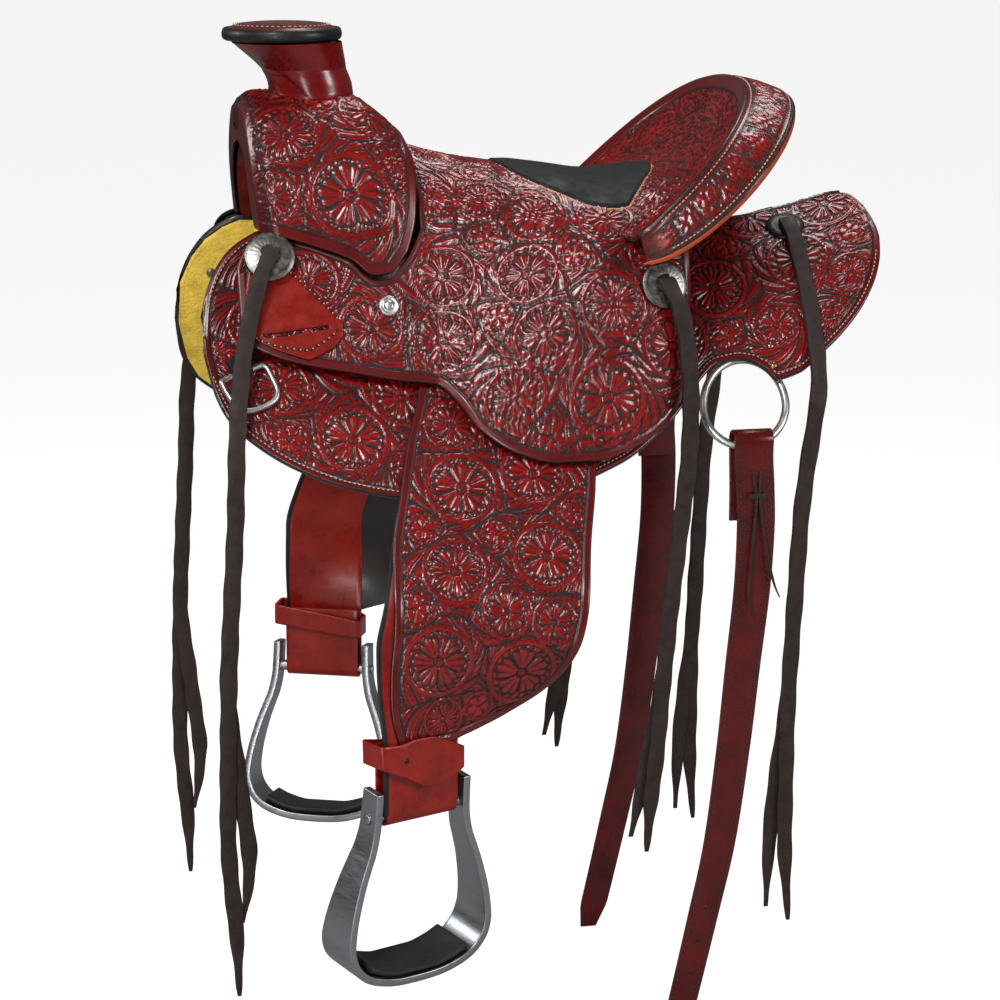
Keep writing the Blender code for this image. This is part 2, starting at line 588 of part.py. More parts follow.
def seat_top(x, v):
    """Seat from the fork to part way up the dish, by x and v."""
    u = np.clip((x - DISH_FROM) / .30, 0, 1)
    return np.where((x > DISH_FROM)[..., None], dish(u, v / DISH_V), seat_section(np.minimum(x, DISH_FROM), v))


PAD_V = [(-.012, .01), (.0, .20), (.04, .335), (.065, .375), (.10, .36), (.150, .36), (.18, .30), (.196, .14)]
sheet("seat_pad", BLACK, [(offset(lambda x, s: seat_top(x, curve(PAD_V, x) * s), .0021),
                           [-.012, 0, .02, .045, .08, .11, .14, .17, .196], [0, .2, .4, .6, .8, 1])], .0055, mirror=True, out=(0, .3, 1))

sheet("tree_cantle", WOOD, [(offset(dish, -.0042), [.50, .60, .70, .80, .87], [0, .15, .3, .45, .6, .75, .88])], .016, inward=True, mirror=True, out=(-.6, .2, 1))
sheet("cantle_back", TOOLED, [(offset(dish, -.0212), [.46, .58, .70, .80, .87], [0, .15, .3, .45, .6, .75, .88])], .0025, inward=True, mirror=True, out=(-.6, .2, 1))

roll_rings = []
stations = [-1, -.96, -.88, -.78, -.66, -.53, -.4, -.26, -.13, 0, .13, .26, .4, .53, .66, .78, .88, .96, 1]
for p in stations:
    b, sgn = abs(p), (1 if p >= 0 else -1)
    A, B = crest(np.array([b]))[0], roll_edge(np.array([b]))[0]
    T = crest(np.array([b + .01]))[0] - crest(np.array([max(b - .01, 0)]))[0]
    T = T if b > 0 else np.array([0, 1, 0])
    across = (B - A) / np.linalg.norm(B - A)
    n = np.cross(across, T)
    n = n / np.linalg.norm(n)
    n = n if n[2] > 0 else -n
    thin = 1 - .45 * max(0, (b - .8) / .2)
    A = A + across * .0042 + n * .0004
    mid = (A + B) / 2 + n * .0025 * thin
    pts = [A, mid, B - across * .004 + n * .0005, B - n * .003 * thin, B - n * .009 * thin, B - across * .006 - n * .012 * thin, mid - n * .0135 * thin, A + across * .004 - n * .0075 * thin]
    roll_rings.append([(q[0], sgn * q[1], q[2]) for q in pts])
loft("cantle_roll", TOOLED, roll_rings).data.shade_smooth()

# ---------------------------------------------------------------- leather fittings on the jockeys

CARRIER = {"top": [(-.284, .880), (-.278, .800), (-.262, .755), (-.246, .765), (-.229, .800), (-.205, .858), (-.190, .900)],
           "low": [(-.284, .955), (-.278, .980), (-.262, .985), (-.240, .988), (-.228, .990), (-.214, .975), (-.198, .950), (-.190, .925)]}
CARRIER_SLOT = [(-.271, .966), (-.238, .936), (-.203, .910)]


def carrier(x, s):
    """A pick-shaped leather; the rows at .72 and .78 are the two edges of its slot."""
    a, b, c = curve(CARRIER["top"], x), curve(CARRIER["low"], x), curve(CARRIER_SLOT, x)
    lo, hi = np.maximum(c - .0055, a + .006), np.minimum(c + .0055, b - .006)
    lo = np.minimum(lo, hi - .003)
    v = np.where(s < .72, a + (lo - a) * s / .72, np.where(s > .78, hi + (b - hi) * (s - .78) / .22, lo + (hi - lo) * (s - .72) / .06))
    return seat_section(x, v)


def seat_spot(x, v, off):
    """A place on the seat, off metres out of it, and the outward normal there."""
    e = 1e-3
    f = lambda a, b: seat_section(np.array([a]), np.array([b]))[0]
    n = np.cross(f(x + e, v) - f(x - e, v), f(x, v + e) - f(x, v - e))
    n = n / np.linalg.norm(n)
    n = n if n[1] > 0 else -n
    return f(x, v) + off * n, n


def drape_spot(x, t, off):
    e = 1e-3
    f = lambda a, b: drape(np.array([a]), np.array([b]), off)[0]
    n = np.cross(f(x + e, t) - f(x - e, t), f(x, t + e) - f(x, t - e))
    n = n / np.linalg.norm(n)
    return f(x, t), n if n[1] > 0 else -n


FRONT_CONCHO_AT = seat_spot(-.259, .762, .0138)[0]
SEAT_CONCHO_AT, SEAT_CONCHO_FACE = seat_spot(.126, .675, .0038)
CONCHO = [(0, .0042), (.008, .0040), (.017, .0031), (.022, .0018), (.0243, .0006), (.0243, 0), (0, 0)]
for word, side in SIDES.items():
    sheet("latigo_carrier_" + word, PLAIN, [(offset(carrier, .0009), [-.284, -.278, -.270, -.256, -.242, -.228, -.214, -.204, -.197, -.190], [0, .25, .5, .72, .78, 1],
                                            lambda x, s: -.270 < x < -.204 and .72 < s < .78)], .0032, side)
    place, normal = FRONT_CONCHO_AT, FRONT_CONCHO_FACE
    turned("front_concho_" + word, SILVER, CONCHO, mirrored(place, side), mirrored(normal, side), 24)
    place, normal = SEAT_CONCHO_AT, SEAT_CONCHO_FACE
    turned("seat_concho_" + word, SILVER, [(r * .94, h) for r, h in CONCHO], mirrored(place, side), mirrored(normal, side), 24)
    place, normal = seat_spot(-.143, .845, .0009)
    turned("seat_screw_" + word, STEEL, [(0, .0046), (.0042, .0044), (.0060, .0030), (.0062, .0018), (.0103, .0014), (.0105, 0), (0, 0)], mirrored(place, side), mirrored(normal, side), 16)
    place, normal = drape_spot(.299, .036, SKIRT_THICK + .0006)
    turned("rear_rosette_" + word, BLACK, [(0, .0032), (.012, .0030), (.018, .0022), (.0205, .0008), (.0205, 0), (0, 0)], mirrored(place, side), mirrored(normal, side), 20)

# ---------------------------------------------------------------- rigging: rear ring, front ring, breast-collar dee

DOWN_SLOPE = np.array([0, math.cos(SLOPE_SIDE), -math.sin(SLOPE_SIDE)])
OUT_SLOPE = np.array([0, math.sin(SLOPE_SIDE), math.cos(SLOPE_SIDE)])


def skirt_plane(x, t, off):
    """Point, lengthwise direction and downward direction of the plane that touches the skirt at x, t."""
    p = drape(np.array([x]), np.array([t]), off)[0]
    e1 = drape(np.array([x + .001]), np.array([t]), off)[0] - drape(np.array([x - .001]), np.array([t]), off)[0]
    return p, e1 / np.linalg.norm(e1), DOWN_SLOPE


REAR_C, REAR_E1, REAR_E2 = skirt_plane(REAR_RING_X, REAR_RING_T, -.0070)
RING_FOOT = REAR_C + REAR_E2 * REAR_RING_R
for word, side in SIDES.items():
    pts = []
    for k in range(36):
        g = 2 * math.pi * k / 36
        d = math.sin(g) * (REAR_RING_R if math.sin(g) > 0 else REAR_RING_TOP)
        pts.append(mirrored(REAR_C + REAR_E1 * REAR_RING_R * math.cos(g) + REAR_E2 * d, side))
    loop_wire("rear_rigging_ring_" + word, STEEL, pts, RING_WIRE)
    c, e1, e2 = skirt_plane(-.05, .318, -.0060)
    pts = [mirrored(c + e1 * .035 * math.cos(2 * math.pi * k / 30) + e2 * .035 * math.sin(2 * math.pi * k / 30), side) for k in range(30)]
    loop_wire("front_rigging_ring_" + word, STEEL, pts, .0035)

    # dee for the breast collar, hanging from a folded tab on the skirt
    c, e1, e2 = skirt_plane(*DEE_AT, DEE_OFF)
    ca, sa = math.cos(DEE_TURN), math.sin(DEE_TURN)
    along, away = e1 * ca - e2 * sa, e1 * sa + e2 * ca
    # outline of the dee: a straight bar at the hinge, a round foot
    outline = [(-.0200, 0), (-.010, 0), (0, 0), (.010, 0), (.0200, 0), (.0235, .0012), (.0250, .0045), (.0245, .016), (.0232, .028),
               (.0195, .0345), (.013, .0385), (0, .0400), (-.013, .0390), (-.0200, .0350), (-.0240, .028), (-.0252, .016), (-.0250, .0045), (-.0235, .0012)]
    loop_wire("breast_dee_" + word, STEEL, [mirrored(c + along * a + away * d, side) for a, d in outline], .0030, origin=mirrored(c, side))
    out = np.cross(along, away)
    out = out if out[1] > 0 else -out
    path = [c - away * .017 + out * .0042] + [c - away * .008 + out * .0042]
    path += [c + away * .0042 * math.sin(g) + out * .0042 * math.cos(g) for g in np.linspace(0, math.pi, 7)]
    path += [c - away * .008 - out * .0042, c - away * .017 - out * .0042]
    strap("dee_tab_" + word, BLACK, path, .020, .0016, across=along, side=side)

    # flank billet, folded through the ring
    f = RING_FOOT
    R = .0100
    outer = [(f[0], f[1] + R, f[2] + .0055), (f[0], f[1] + R - .001, f[2] - .012), (f[0] + .003, f[1] + .0062, f[2] - .045), (f[0] + .005, f[1] + .0040, f[2] - .085),
             (f[0] + .003, f[1] + .0010, f[2] - .15), (f[0] - .005, f[1], f[2] - .23), (f[0] - .014, f[1], f[2] - .32), (f[0] - .027, f[1], f[2] - .42),
             (f[0] - .044, f[1], f[2] - .50), (f[0] - .062, f[1], f[2] - .58), (f[0] - .075, f[1], f[2] - BILLET_DROP)]
    inner = [(f[0] - .0005, f[1] - .0042, f[2] - .078), (f[0], f[1] - .0060, f[2] - .045), (f[0], f[1] - R + .0015, f[2] - .012)]
    fold = [(f[0], f[1] - R * math.cos(g), f[2] + .0055 + R * math.sin(g)) for g in np.linspace(0, math.pi, 9)]
    path = [Vector(p) for p in inner] + [Vector(p) for p in fold] + [Vector(p) for p in smooth_path(outer, .034)[1:]]
    strap("flank_billet_" + word, BRIDLE, path, lambda s: .041 - .010 * max(0, s - .2) / .8 - .013 * max(0, s - .93) / .07, BILLET_THICK, side=side, origin=mirrored(f, side))

# ---------------------------------------------------------------- fender, stirrup leather, hobble, stirrup

HINGE = drape(np.array([FENDER_HINGE_X]), np.array([FENDER_HINGE_T]), .010)[0]
PLUMB_Y = float(drape(np.array([0.]), np.array([.5]), 0, hang=True)[0][1])
BOLT = np.array([TWIST_AT[0], PLUMB_Y + .0065 - .0078, BOLT_Z])
BOLT_AT = twist(BOLT[None])[0]
ACROSS = np.array([math.cos(YAW), -math.sin(YAW), 0])
FACING = np.array([math.sin(YAW), math.cos(YAW), 0])


def fender(s, t):
    a, b = curve([(q, x) for q, x in FENDER_FRONT], t), curve([(q, x) for q, x in FENDER_REAR], t)
    return twist(drape(a + (b - a) * s, t, .0108, hang=True))


HANG = FACING * math.sin(STIRRUP_LEAN) - np.array([0, 0, math.cos(STIRRUP_LEAN)])
DEEP = FACING * math.cos(STIRRUP_LEAN) + np.array([0, 0, math.sin(STIRRUP_LEAN)])


def stirrup_point(a, b, z):
    """A place on the stirrup: a along the bolt, b across the tread, z up from the bolt."""
    return BOLT_AT + np.outer(a, ACROSS) + np.outer(b, DEEP) - np.outer(z, HANG)


STIRRUP_SIDE = [(-.0520, .029), (-.0524, .010), (-.0535, -.010), (-.0575, -.030), (-.0630, -.045), (-.0705, -.066), (-.0780, -.094), (-.0815, -.116), (-.0815, -.130),
                (-.0765, -.145), (-.0640, -.1585), (-.0450, -.1670), (-.0200, -.1715)]
STIRRUP_PATH = STIRRUP_SIDE + [(-a, z) for a, z in STIRRUP_SIDE[::-1]]
STIRRUP_DEPTH = [(-.1715, .054), (-.145, .053), (-.10, .045), (-.05, .034), (-.01, .027), (.029, .025)]
TREAD_LOW = [(0, -.1664), (.0200, -.1664), (.0430, -.1615), (.0590, -.1545)]

for word, side in SIDES.items():
    hinge = mirrored(HINGE, side)
    sheet("fender_" + word, TOOLED, [(fender, [0, .17, .34, .5, .66, .83, 1], [.175, .23, .29, .35, .40, .412, .424, .436, .448, .46, .485, .51, .530, .543, .552, .562])],
          .0034, side, origin=hinge)

    def leather(s, q):
        """Down the outside, round the bolt and up behind; q is the length along the strap."""
        t_end = .46 + (-.361 - BOLT_Z)
        x = curve(LEATHER_X, np.minimum(q, t_end)) + (s - .5) * LEATHER_WIDE
        outer = drape(x, np.minimum(q, t_end), .0081, hang=True)
        z0 = drape(x, t_end + 0 * q, .0081, hang=True)[..., 2]
        r = .0094
        g = np.clip((q - t_end) / .03 * math.pi, 0, math.pi)
        up = np.clip(q - t_end - .03, 0, None)
        loop = np.stack([x, BOLT[1] + r * np.cos(g), z0 - r * np.sin(g) + up], -1)
        return twist(np.where((q > t_end)[..., None], loop, outer))
    t_end = .46 + (-.361 - BOLT_Z)
    qs = [.147, .20, .26, .32, .37, .40, .412, .424, .436, .448, .46, .49, .52, .55, .58, t_end - .001] + [t_end + .03 * k / 7 for k in range(1, 8)] + [t_end + .03 + .035, t_end + .03 + .07]
    sheet("stirrup_leather_" + word, PLAIN, [(leather, [0, .5, 1], qs)], .0032, side, origin=hinge, centred=True)

    # hobble strap: a shaped band round both plies of the leather and the tip of the fender
    y0, y1, left, right, r = PLUMB_Y - .0165, PLUMB_Y + .0175, -.0520, .0460, .0045
    ring = []
    for cx, cy, g0 in ((right - r, y1 - r, 0), (left + r, y1 - r, 90), (left + r, y0 + r, 180), (right - r, y0 + r, 270)):
        for k in range(4):
            g = RAD(g0 + 30 * k)
            ring.append((cx + r * math.cos(g), cy + r * math.sin(g)))
        if g0 == 0:
            ring += [(a, y1) for a in (.030, .018, .006, -.006, -.018, -.030)]
        if g0 == 180:
            ring.append((0, y0))
    ring.append(ring[0])

    def hobble(u, v):
        a, y = np.array(ring)[np.round(u).astype(int)].T
        front = np.clip((y - y0) / (y1 - y0), 0, 1) ** 3
        top = -.450 - .016 * (a - left) / (right - left)
        low = -.473 - .013 * (a - left) / (right - left)
        top = top + (curve(HOBBLE_TOP, a) - top) * front
        low = low + (curve(HOBBLE_LOW, a) - low) * front
        return twist(np.stack([TWIST_AT[0] + a, y, top + (low - top) * v], -1))
    sheet("hobble_strap_" + word, PLAIN, [(hobble, range(len(ring)), [0, .5, 1])], .0028, side, origin=hinge, out=(0, 0, 0), centred=True)

    at = mirrored(BOLT_AT, side)

    def stirrup(u, v):
        a, z = np.array(STIRRUP_PATH)[np.round(u).astype(int)].T
        return stirrup_point(a, curve(STIRRUP_DEPTH, z) * (v - .5), z)
    frame = sheet("stirrup_" + word, ALUMINIUM, [(stirrup, range(len(STIRRUP_PATH)), [0, 1])], STIRRUP_STRIP, side, origin=at, out=(0, 0, 0), centred=True)
    axis = Vector((ACROSS[0], side * ACROSS[1], 0))
    bpy.ops.mesh.primitive_cylinder_add(vertices=16, radius=.0066, depth=.14, location=at, rotation=axis.to_track_quat("Z", "Y").to_euler())
    cutter = bpy.context.object
    cutter.name = "bolt_hole_" + word
    for c in list(cutter.users_collection):
        c.objects.unlink(cutter)
    cutters.objects.link(cutter)
    cutter.hide_render, cutter.display_type = True, "WIRE"
    hole = frame.modifiers.new("Hole", "BOOLEAN")
    hole.operation, hole.object = "DIFFERENCE", cutter
    turned("stirrup_bolt_" + word, STEEL, [(0, .0572), (.0052, .0570), (.0060, .0562), (.0060, -.0562), (.0052, -.0570), (0, -.0572)], at, axis, 16)

    def tread(u, v):
        return stirrup_point(u, .047 * (v - .5), curve(TREAD_LOW, np.abs(u)))
    sheet("stirrup_tread_" + word, RUBBER, [(tread, [-.059, -.052, -.043, -.031, -.020, .020, .031, .043, .052, .059], [0, 1])], TREAD_THICK, side, origin=at, out=(0, 0, 1))

# ---------------------------------------------------------------- saddle strings, each one thong folded at its middle

def from_concho(place, face, toward, reach):
    """The outer ply where it leaves a concho of the given radius, going towards the direction toward."""
    n = np.array(face, float) / np.linalg.norm(face)
    d = np.array(toward, float) - np.dot(toward, n) * n
    d = d / np.linalg.norm(d)
    return [tuple(place + n * STRING_RISE - d * .004), tuple(place + n * STRING_RISE + d * reach * .6), tuple(place + n * (STRING_RISE - .0012) + d * (reach + .004))]


def on_skirt(x, t, off):
    return tuple(drape(np.array([x]), np.array([t]), off)[0])


FRONT_STRING = {"a": from_concho(FRONT_CONCHO_AT, FRONT_CONCHO_FACE, (-.42, 0, -1), .024) + [
                     (-.289, .1480, -.076), (-.300, .1745, -.130), (-.306, .192, -.180), (-.309, .195, -.25),
                     (-.315, .194, -.345), (-.319, .194, -.426), (-.321, .194, -.487), (-.322, .194, -.581), (-.316, .194, -.665), (-.314, .194, -.735)],
                "b": [(-.319, .190, -.426), (-.312, .190, -.489), (-.306, .190, -.541), (-.301, .190, -.584), (-.303, .190, -.626), (-.309, .190, -.659)], "split": 9}
SEAT_STRING = {"a": from_concho(SEAT_CONCHO_AT, SEAT_CONCHO_FACE, (.40, 0, -1), .023) + [
                    (.147, .1965, -.092), (.152, .1930, -.145), (.151, .1915, -.207), (.142, .191, -.289),
                    (.135, .191, -.351), (.127, .191, -.435), (.121, .191, -.509), (.115, .191, -.562), (.111, .191, -.616)],
               "b": [(.127, .187, -.435), (.116, .187, -.498), (.106, .187, -.55), (.095, .187, -.600)], "split": 9}
BACK_STRING = {"a": [on_skirt(.300, .034, .0156), on_skirt(.301, .058, .0146), on_skirt(.301, .085, .0118), on_skirt(.301, .115, .0116), on_skirt(.301, .150, .0116),
                     on_skirt(.300, .180, .0116), on_skirt(.299, .204, .0120), (.293, .1735, -.150), (.286, .174, -.20),
                     (.278, .174, -.265), (.273, .174, -.35), (.267, .174, -.468), (.266, .174, -.555), (.266, .175, -.632), (.271, .175, -.709)],
               "b": [(.267, .170, -.468), (.256, .170, -.556), (.250, .170, -.632), (.248, .170, -.694)], "split": 12}

for word, side in SIDES.items():
    for name, spec in (("front", FRONT_STRING), ("seat", SEAT_STRING), ("back", BACK_STRING)):
        A = np.array(spec["a"])
        down_a = smooth_path(A, .028)
        shared = A[:spec["split"]].copy()
        steep = np.clip(-shared[:, 2] / .10, 0, 1) * .4 + .6
        shared[:, 1] -= STRING_GAP * steep
        shared[:, 2] -= STRING_GAP * np.sqrt(1 - steep ** 2)
        B = np.vstack([shared, np.array(spec["b"])[1:]])
        down_b = smooth_path(B, .028)
        joined = [Vector(p) for p in down_a[::-1]] + [Vector(p) for p in down_b]
        lie = .216 if name == "back" else 0
        slant = [Vector((1, 0, lie * max(0, min(1, (p[2] + .16) / .06)))).normalized() for p in joined]
        strap(name + "_strings_" + word, STRING, joined,
              lambda s: .0165 - .0125 * (max(0, (.03 - s) / .03) + max(0, (s - .97) / .03)), STRING_THICK, across=slant, side=side)
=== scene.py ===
"""Looks of the western saddle: carved and smooth leather, metal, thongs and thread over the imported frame."""
import json
import math

import bmesh
import bpy
import numpy as np
from mathutils import Matrix, Vector

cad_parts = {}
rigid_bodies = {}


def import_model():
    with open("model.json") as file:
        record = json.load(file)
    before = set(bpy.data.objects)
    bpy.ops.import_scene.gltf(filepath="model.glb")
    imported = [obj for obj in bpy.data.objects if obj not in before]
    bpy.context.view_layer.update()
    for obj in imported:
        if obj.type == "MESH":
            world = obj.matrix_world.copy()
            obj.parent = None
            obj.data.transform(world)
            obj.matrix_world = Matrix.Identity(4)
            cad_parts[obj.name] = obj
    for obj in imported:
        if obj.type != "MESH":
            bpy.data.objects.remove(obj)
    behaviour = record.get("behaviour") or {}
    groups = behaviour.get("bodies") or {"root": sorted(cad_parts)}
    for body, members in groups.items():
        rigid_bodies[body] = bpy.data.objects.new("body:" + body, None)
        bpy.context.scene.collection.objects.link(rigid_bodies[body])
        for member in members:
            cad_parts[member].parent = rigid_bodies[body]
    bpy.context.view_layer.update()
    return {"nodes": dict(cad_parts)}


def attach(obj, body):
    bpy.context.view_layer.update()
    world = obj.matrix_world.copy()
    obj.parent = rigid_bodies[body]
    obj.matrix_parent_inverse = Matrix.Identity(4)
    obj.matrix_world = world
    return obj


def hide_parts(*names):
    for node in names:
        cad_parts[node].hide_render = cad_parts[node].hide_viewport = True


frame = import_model()

# ---------------------------------------------------------------- the part's own sizes and surfaces

SKIRT_THICK = .0050
LINING_THICK = .0070
SEAT_THICK = .0032
HORN_CAP_X, HORN_CAP_Z = -.226, .2058
REAR_RING_X, REAR_RING_T = .221, .231
REAR_RING_R, REAR_RING_TOP, RING_WIRE = .0435, .0515, .0040
DEE_AT, DEE_OFF, DEE_TURN = (-.2915, .178), .0110, math.radians(24)
BILLET_THICK, BILLET_DROP = .0032, .635
FENDER_HINGE_X, FENDER_HINGE_T = -.100, .165
BOLT_Z, STIRRUP_LEAN = -.526, math.radians(-7)
STIRRUP_STRIP, TREAD_THICK = .0085, .0075
HOBBLE_TOP = [(-.054, -.4500), (-.030, -.4516), (-.012, -.4488), (.006, -.4490), (.024, -.4553), (.0445, -.4660)]
HOBBLE_LOW = [(-.054, -.4720), (-.024, -.4859), (-.0066, -.4954), (.002, -.4985), (.021, -.4976), (.0445, -.4870)]
LEATHER_WIDE = .084
LEATHER_X = [(.147, -.064), (.206, -.075), (.254, -.090), (.314, -.106), (.37, -.119), (.42, -.131), (.46, -.141), (.70, -.1425)]
STRING_THICK, STRING_GAP, STRING_RISE = .0024, .0040, .0106
FRONT_CONCHO_FACE = (-.05, .90, .43)

# ---------------------------------------------------------------- surfaces

RAD = math.radians

# drape: the curved sheet that the skirts follow on each side of the backbone
SLOPE_TOP, SLOPE_SIDE, SLOPE_RUN = RAD(27), RAD(56), 0.16
BEND_FROM, BEND_TO = 0.40, 0.46      # where a fender turns to hang plumb
_T = np.linspace(0.0, 1.2, 2401)


def slope_skirt(t):
    s = np.clip(t / SLOPE_RUN, 0, 1)
    return SLOPE_TOP + (SLOPE_SIDE - SLOPE_TOP) * s * s * (3 - 2 * s)


def slope_fender(t):
    s = np.clip((t - BEND_FROM) / (BEND_TO - BEND_FROM), 0, 1)
    return slope_skirt(t) + (RAD(90) - SLOPE_SIDE) * s * s * (3 - 2 * s)


def _run(slope):
    mid = slope((_T[1:] + _T[:-1]) / 2)
    step = _T[1] - _T[0]
    return (np.concatenate([[0], np.cumsum(np.cos(mid)) * step]),
            np.concatenate([[0], -np.cumsum(np.sin(mid)) * step]))


_SKIRT, _FENDER = _run(slope_skirt), _run(slope_fender)


def rock(x):
    """Rise of the skirts towards the front and the rear ends."""
    return 0.35 * np.maximum(0, -x - 0.18) ** 2 + 0.6 * np.maximum(0, x - 0.12) ** 2


def drape(x, t, off=0.0, hang=False):
    """Point at x, arc length t from the ridge, off metres out of the sheet; y is positive here."""
    x, t = np.asarray(x, float) + 0 * np.asarray(t, float), np.asarray(t, float) + 0 * np.asarray(x, float)
    run, slope = (_FENDER, slope_fender) if hang else (_SKIRT, slope_skirt)
    a = slope(t)
    return np.stack([x, np.interp(t, _T, run[0]) + off * np.sin(a),
                     np.interp(t, _T, run[1]) + (0 if hang else 1) * rock(x) + off * np.cos(a)], -1)


def slope_front(t):
    return RAD(72) + (SLOPE_SIDE - RAD(72)) * np.clip((t - .10) / (SLOPE_RUN - .10), 0, 1) ** 1.3


_FRONT = _run(slope_front)


def skirt_at(x, t, off=0.0):
    """The skirt: the drape, which at the front stands up against the side of the fork."""
    p = drape(x, t, off)
    x, t = p[..., 0], np.asarray(t, float) + 0 * p[..., 0]
    g = np.clip((-x - .195) / .05, 0, 1)
    g = g * g * (3 - 2 * g)
    tt = np.minimum(t, SLOPE_RUN)
    a = slope_front(tt)
    base = drape(x, SLOPE_RUN + 0 * t)
    y = base[..., 1] - (np.interp(SLOPE_RUN, _T, _FRONT[0]) - np.interp(tt, _T, _FRONT[0])) + off * np.sin(a)
    z = base[..., 2] - (np.interp(SLOPE_RUN, _T, _FRONT[1]) - np.interp(tt, _T, _FRONT[1])) + off * np.cos(a)
    g = np.where(t < SLOPE_RUN, g, 0)
    return np.stack([x, p[..., 1] + (y - p[..., 1]) * g, p[..., 2] + (z - p[..., 2]) * g], -1)


def curve(table, x):
    """Smooth curve (monotone cubic) through the (x, value) pairs of table."""
    X = np.array([p[0] for p in table], float)
    Y = np.array([p[1] for p in table], float)
    h, d = np.diff(X), np.diff(Y) / np.diff(X)
    m = np.zeros_like(Y)
    m[0], m[-1] = d[0], d[-1]
    both = d[:-1] * d[1:] > 0
    w1, w2 = 2 * h[1:] + h[:-1], h[1:] + 2 * h[:-1]
    inner = np.where(both, (w1 + w2) / (w1 / np.where(both, d[:-1], 1) + w2 / np.where(both, d[1:], 1)), 0)
    m[1:-1] = inner
    x = np.clip(np.asarray(x, float), X[0], X[-1])
    k = np.clip(np.searchsorted(X, x) - 1, 0, len(h) - 1)
    s = (x - X[k]) / h[k]
    return ((1 + 2 * s) * (1 - s) ** 2 * Y[k] + s * (1 - s) ** 2 * h[k] * m[k]
            + s * s * (3 - 2 * s) * Y[k + 1] + s * s * (s - 1) * h[k] * m[k + 1])


# skirt outline, as arc length against x
SKIRT_LOW = [(-.3265, .158), (-.319, .201), (-.308, .227), (-.281, .255), (-.244, .279), (-.197, .299), (-.148, .311),
             (-.08, .318), (0, .312), (.08, .285), (.13, .250), (.157, .223), (.178, .198), (.197, .184), (.215, .1825),
             (.233, .188), (.245, .199), (.256, .213), (.280, .210), (.304, .197), (.340, .173), (.367, .145), (.384, .112), (.389, .088)]
SKIRT_TOP = [(-.3265, .138), (-.325, .114), (-.321, .095), (-.311, .0705), (-.296, .049), (-.277, .034), (-.262, .027), (-.245, .027), (-.225, .034), (-.200, .026), (-.175, .008), (-.15, .004), (.35, .002), (.372, .010), (.384, .036), (.389, .072)]

# seat: sections across the saddle, each a cubic from the middle line to the edge of the jockey
SEAT_MID = [(-.30, .105), (-.16, .112), (-.118, .108), (-.105, .100), (-.074, .090), (-.011, .078), (.05, .069), (.08, .064), (.12, .058)]
SEAT_Y1 = [(-.30, .045), (-.118, .045), (-.05, .075), (.02, .120), (.08, .145), (.12, .15)]
SEAT_Y2 = [(-.30, .085), (-.118, .10), (-.05, .125), (.02, .165), (.08, .198), (.16, .195)]
SEAT_Z2 = [(-.30, .060), (-.118, .045), (-.05, .050), (.02, .045), (.08, .030), (.16, .010)]
JOCKEY_LOW = [(-.306, .118), (-.300, .130), (-.290, .146), (-.254, .166), (-.225, .174), (-.191, .181), (-.137, .193), (-.100, .199), (-.084, .216),
              (-.063, .250), (-.026, .278), (.013, .289), (.054, .288), (.097, .273), (.132, .248), (.150, .216), (.157, .186)]
SEAT_OFF = .0205                      # outer face of the jockey at its lower edge, out of the skirt's inner face


def seat_section(x, v):
    x, v = np.asarray(x, float) + 0 * np.asarray(v, float), np.asarray(v, float) + 0 * np.asarray(x, float)
    edge = drape(x, curve(JOCKEY_LOW, x), SEAT_OFF)
    zc, y1, y2, z2 = curve(SEAT_MID, x), curve(SEAT_Y1, x), curve(SEAT_Y2, x), curve(SEAT_Z2, x)
    b0, b1, b2, b3 = (1 - v) ** 3, 3 * v * (1 - v) ** 2, 3 * v * v * (1 - v), v ** 3
    return np.stack([x, b1 * y1 + b2 * y2 + b3 * edge[..., 1], (b0 + b1) * zc + b2 * z2 + b3 * edge[..., 2]], -1)


# cantle: crest where the dish meets the roll, and the outer edge of the roll; p runs from 0 at the top to 1 at the near end
DISH_FROM, DISH_V = .08, .50          # x and v where the dish leaves the seat


def crest(p):
    c, s = np.cos(p * math.pi / 2).clip(0), np.sin(p * math.pi / 2).clip(0)
    return np.stack([.099 + .147 * c ** .68, .186 * s ** .89, .022 + .140 * c ** .72], -1)


def roll_edge(p):
    c, s = np.cos(p * math.pi / 2).clip(0), np.sin(p * math.pi / 2).clip(0)
    return np.stack([.101 + .188 * c ** .616, .208 * s ** .61, -.003 + .153 * c ** .93], -1)


def dish(u, v):
    """u from 0 on the seat to 1 at the crest, v from 0 at the middle to 1 at the side."""
    u, v = np.asarray(u, float) + 0 * np.asarray(v, float), np.asarray(v, float) + 0 * np.asarray(u, float)
    a = seat_section(DISH_FROM, v * DISH_V)
    step = 1e-3
    ta = (a - seat_section(DISH_FROM - step, v * DISH_V)) / step
    b = crest(v)
    span = np.linalg.norm(b - a, axis=-1)[..., None]
    tb = np.stack([.35 + 0 * v, .55 * v, .95 - .25 * v], -1)
    tb = tb / np.linalg.norm(tb, axis=-1)[..., None]
    u = u[..., None]
    return ((1 + 2 * u) * (1 - u) ** 2 * a + u * (1 - u) ** 2 * span * 1.15 * ta
            + u * u * (3 - 2 * u) * b + u * u * (u - 1) * span * 1.15 * tb)


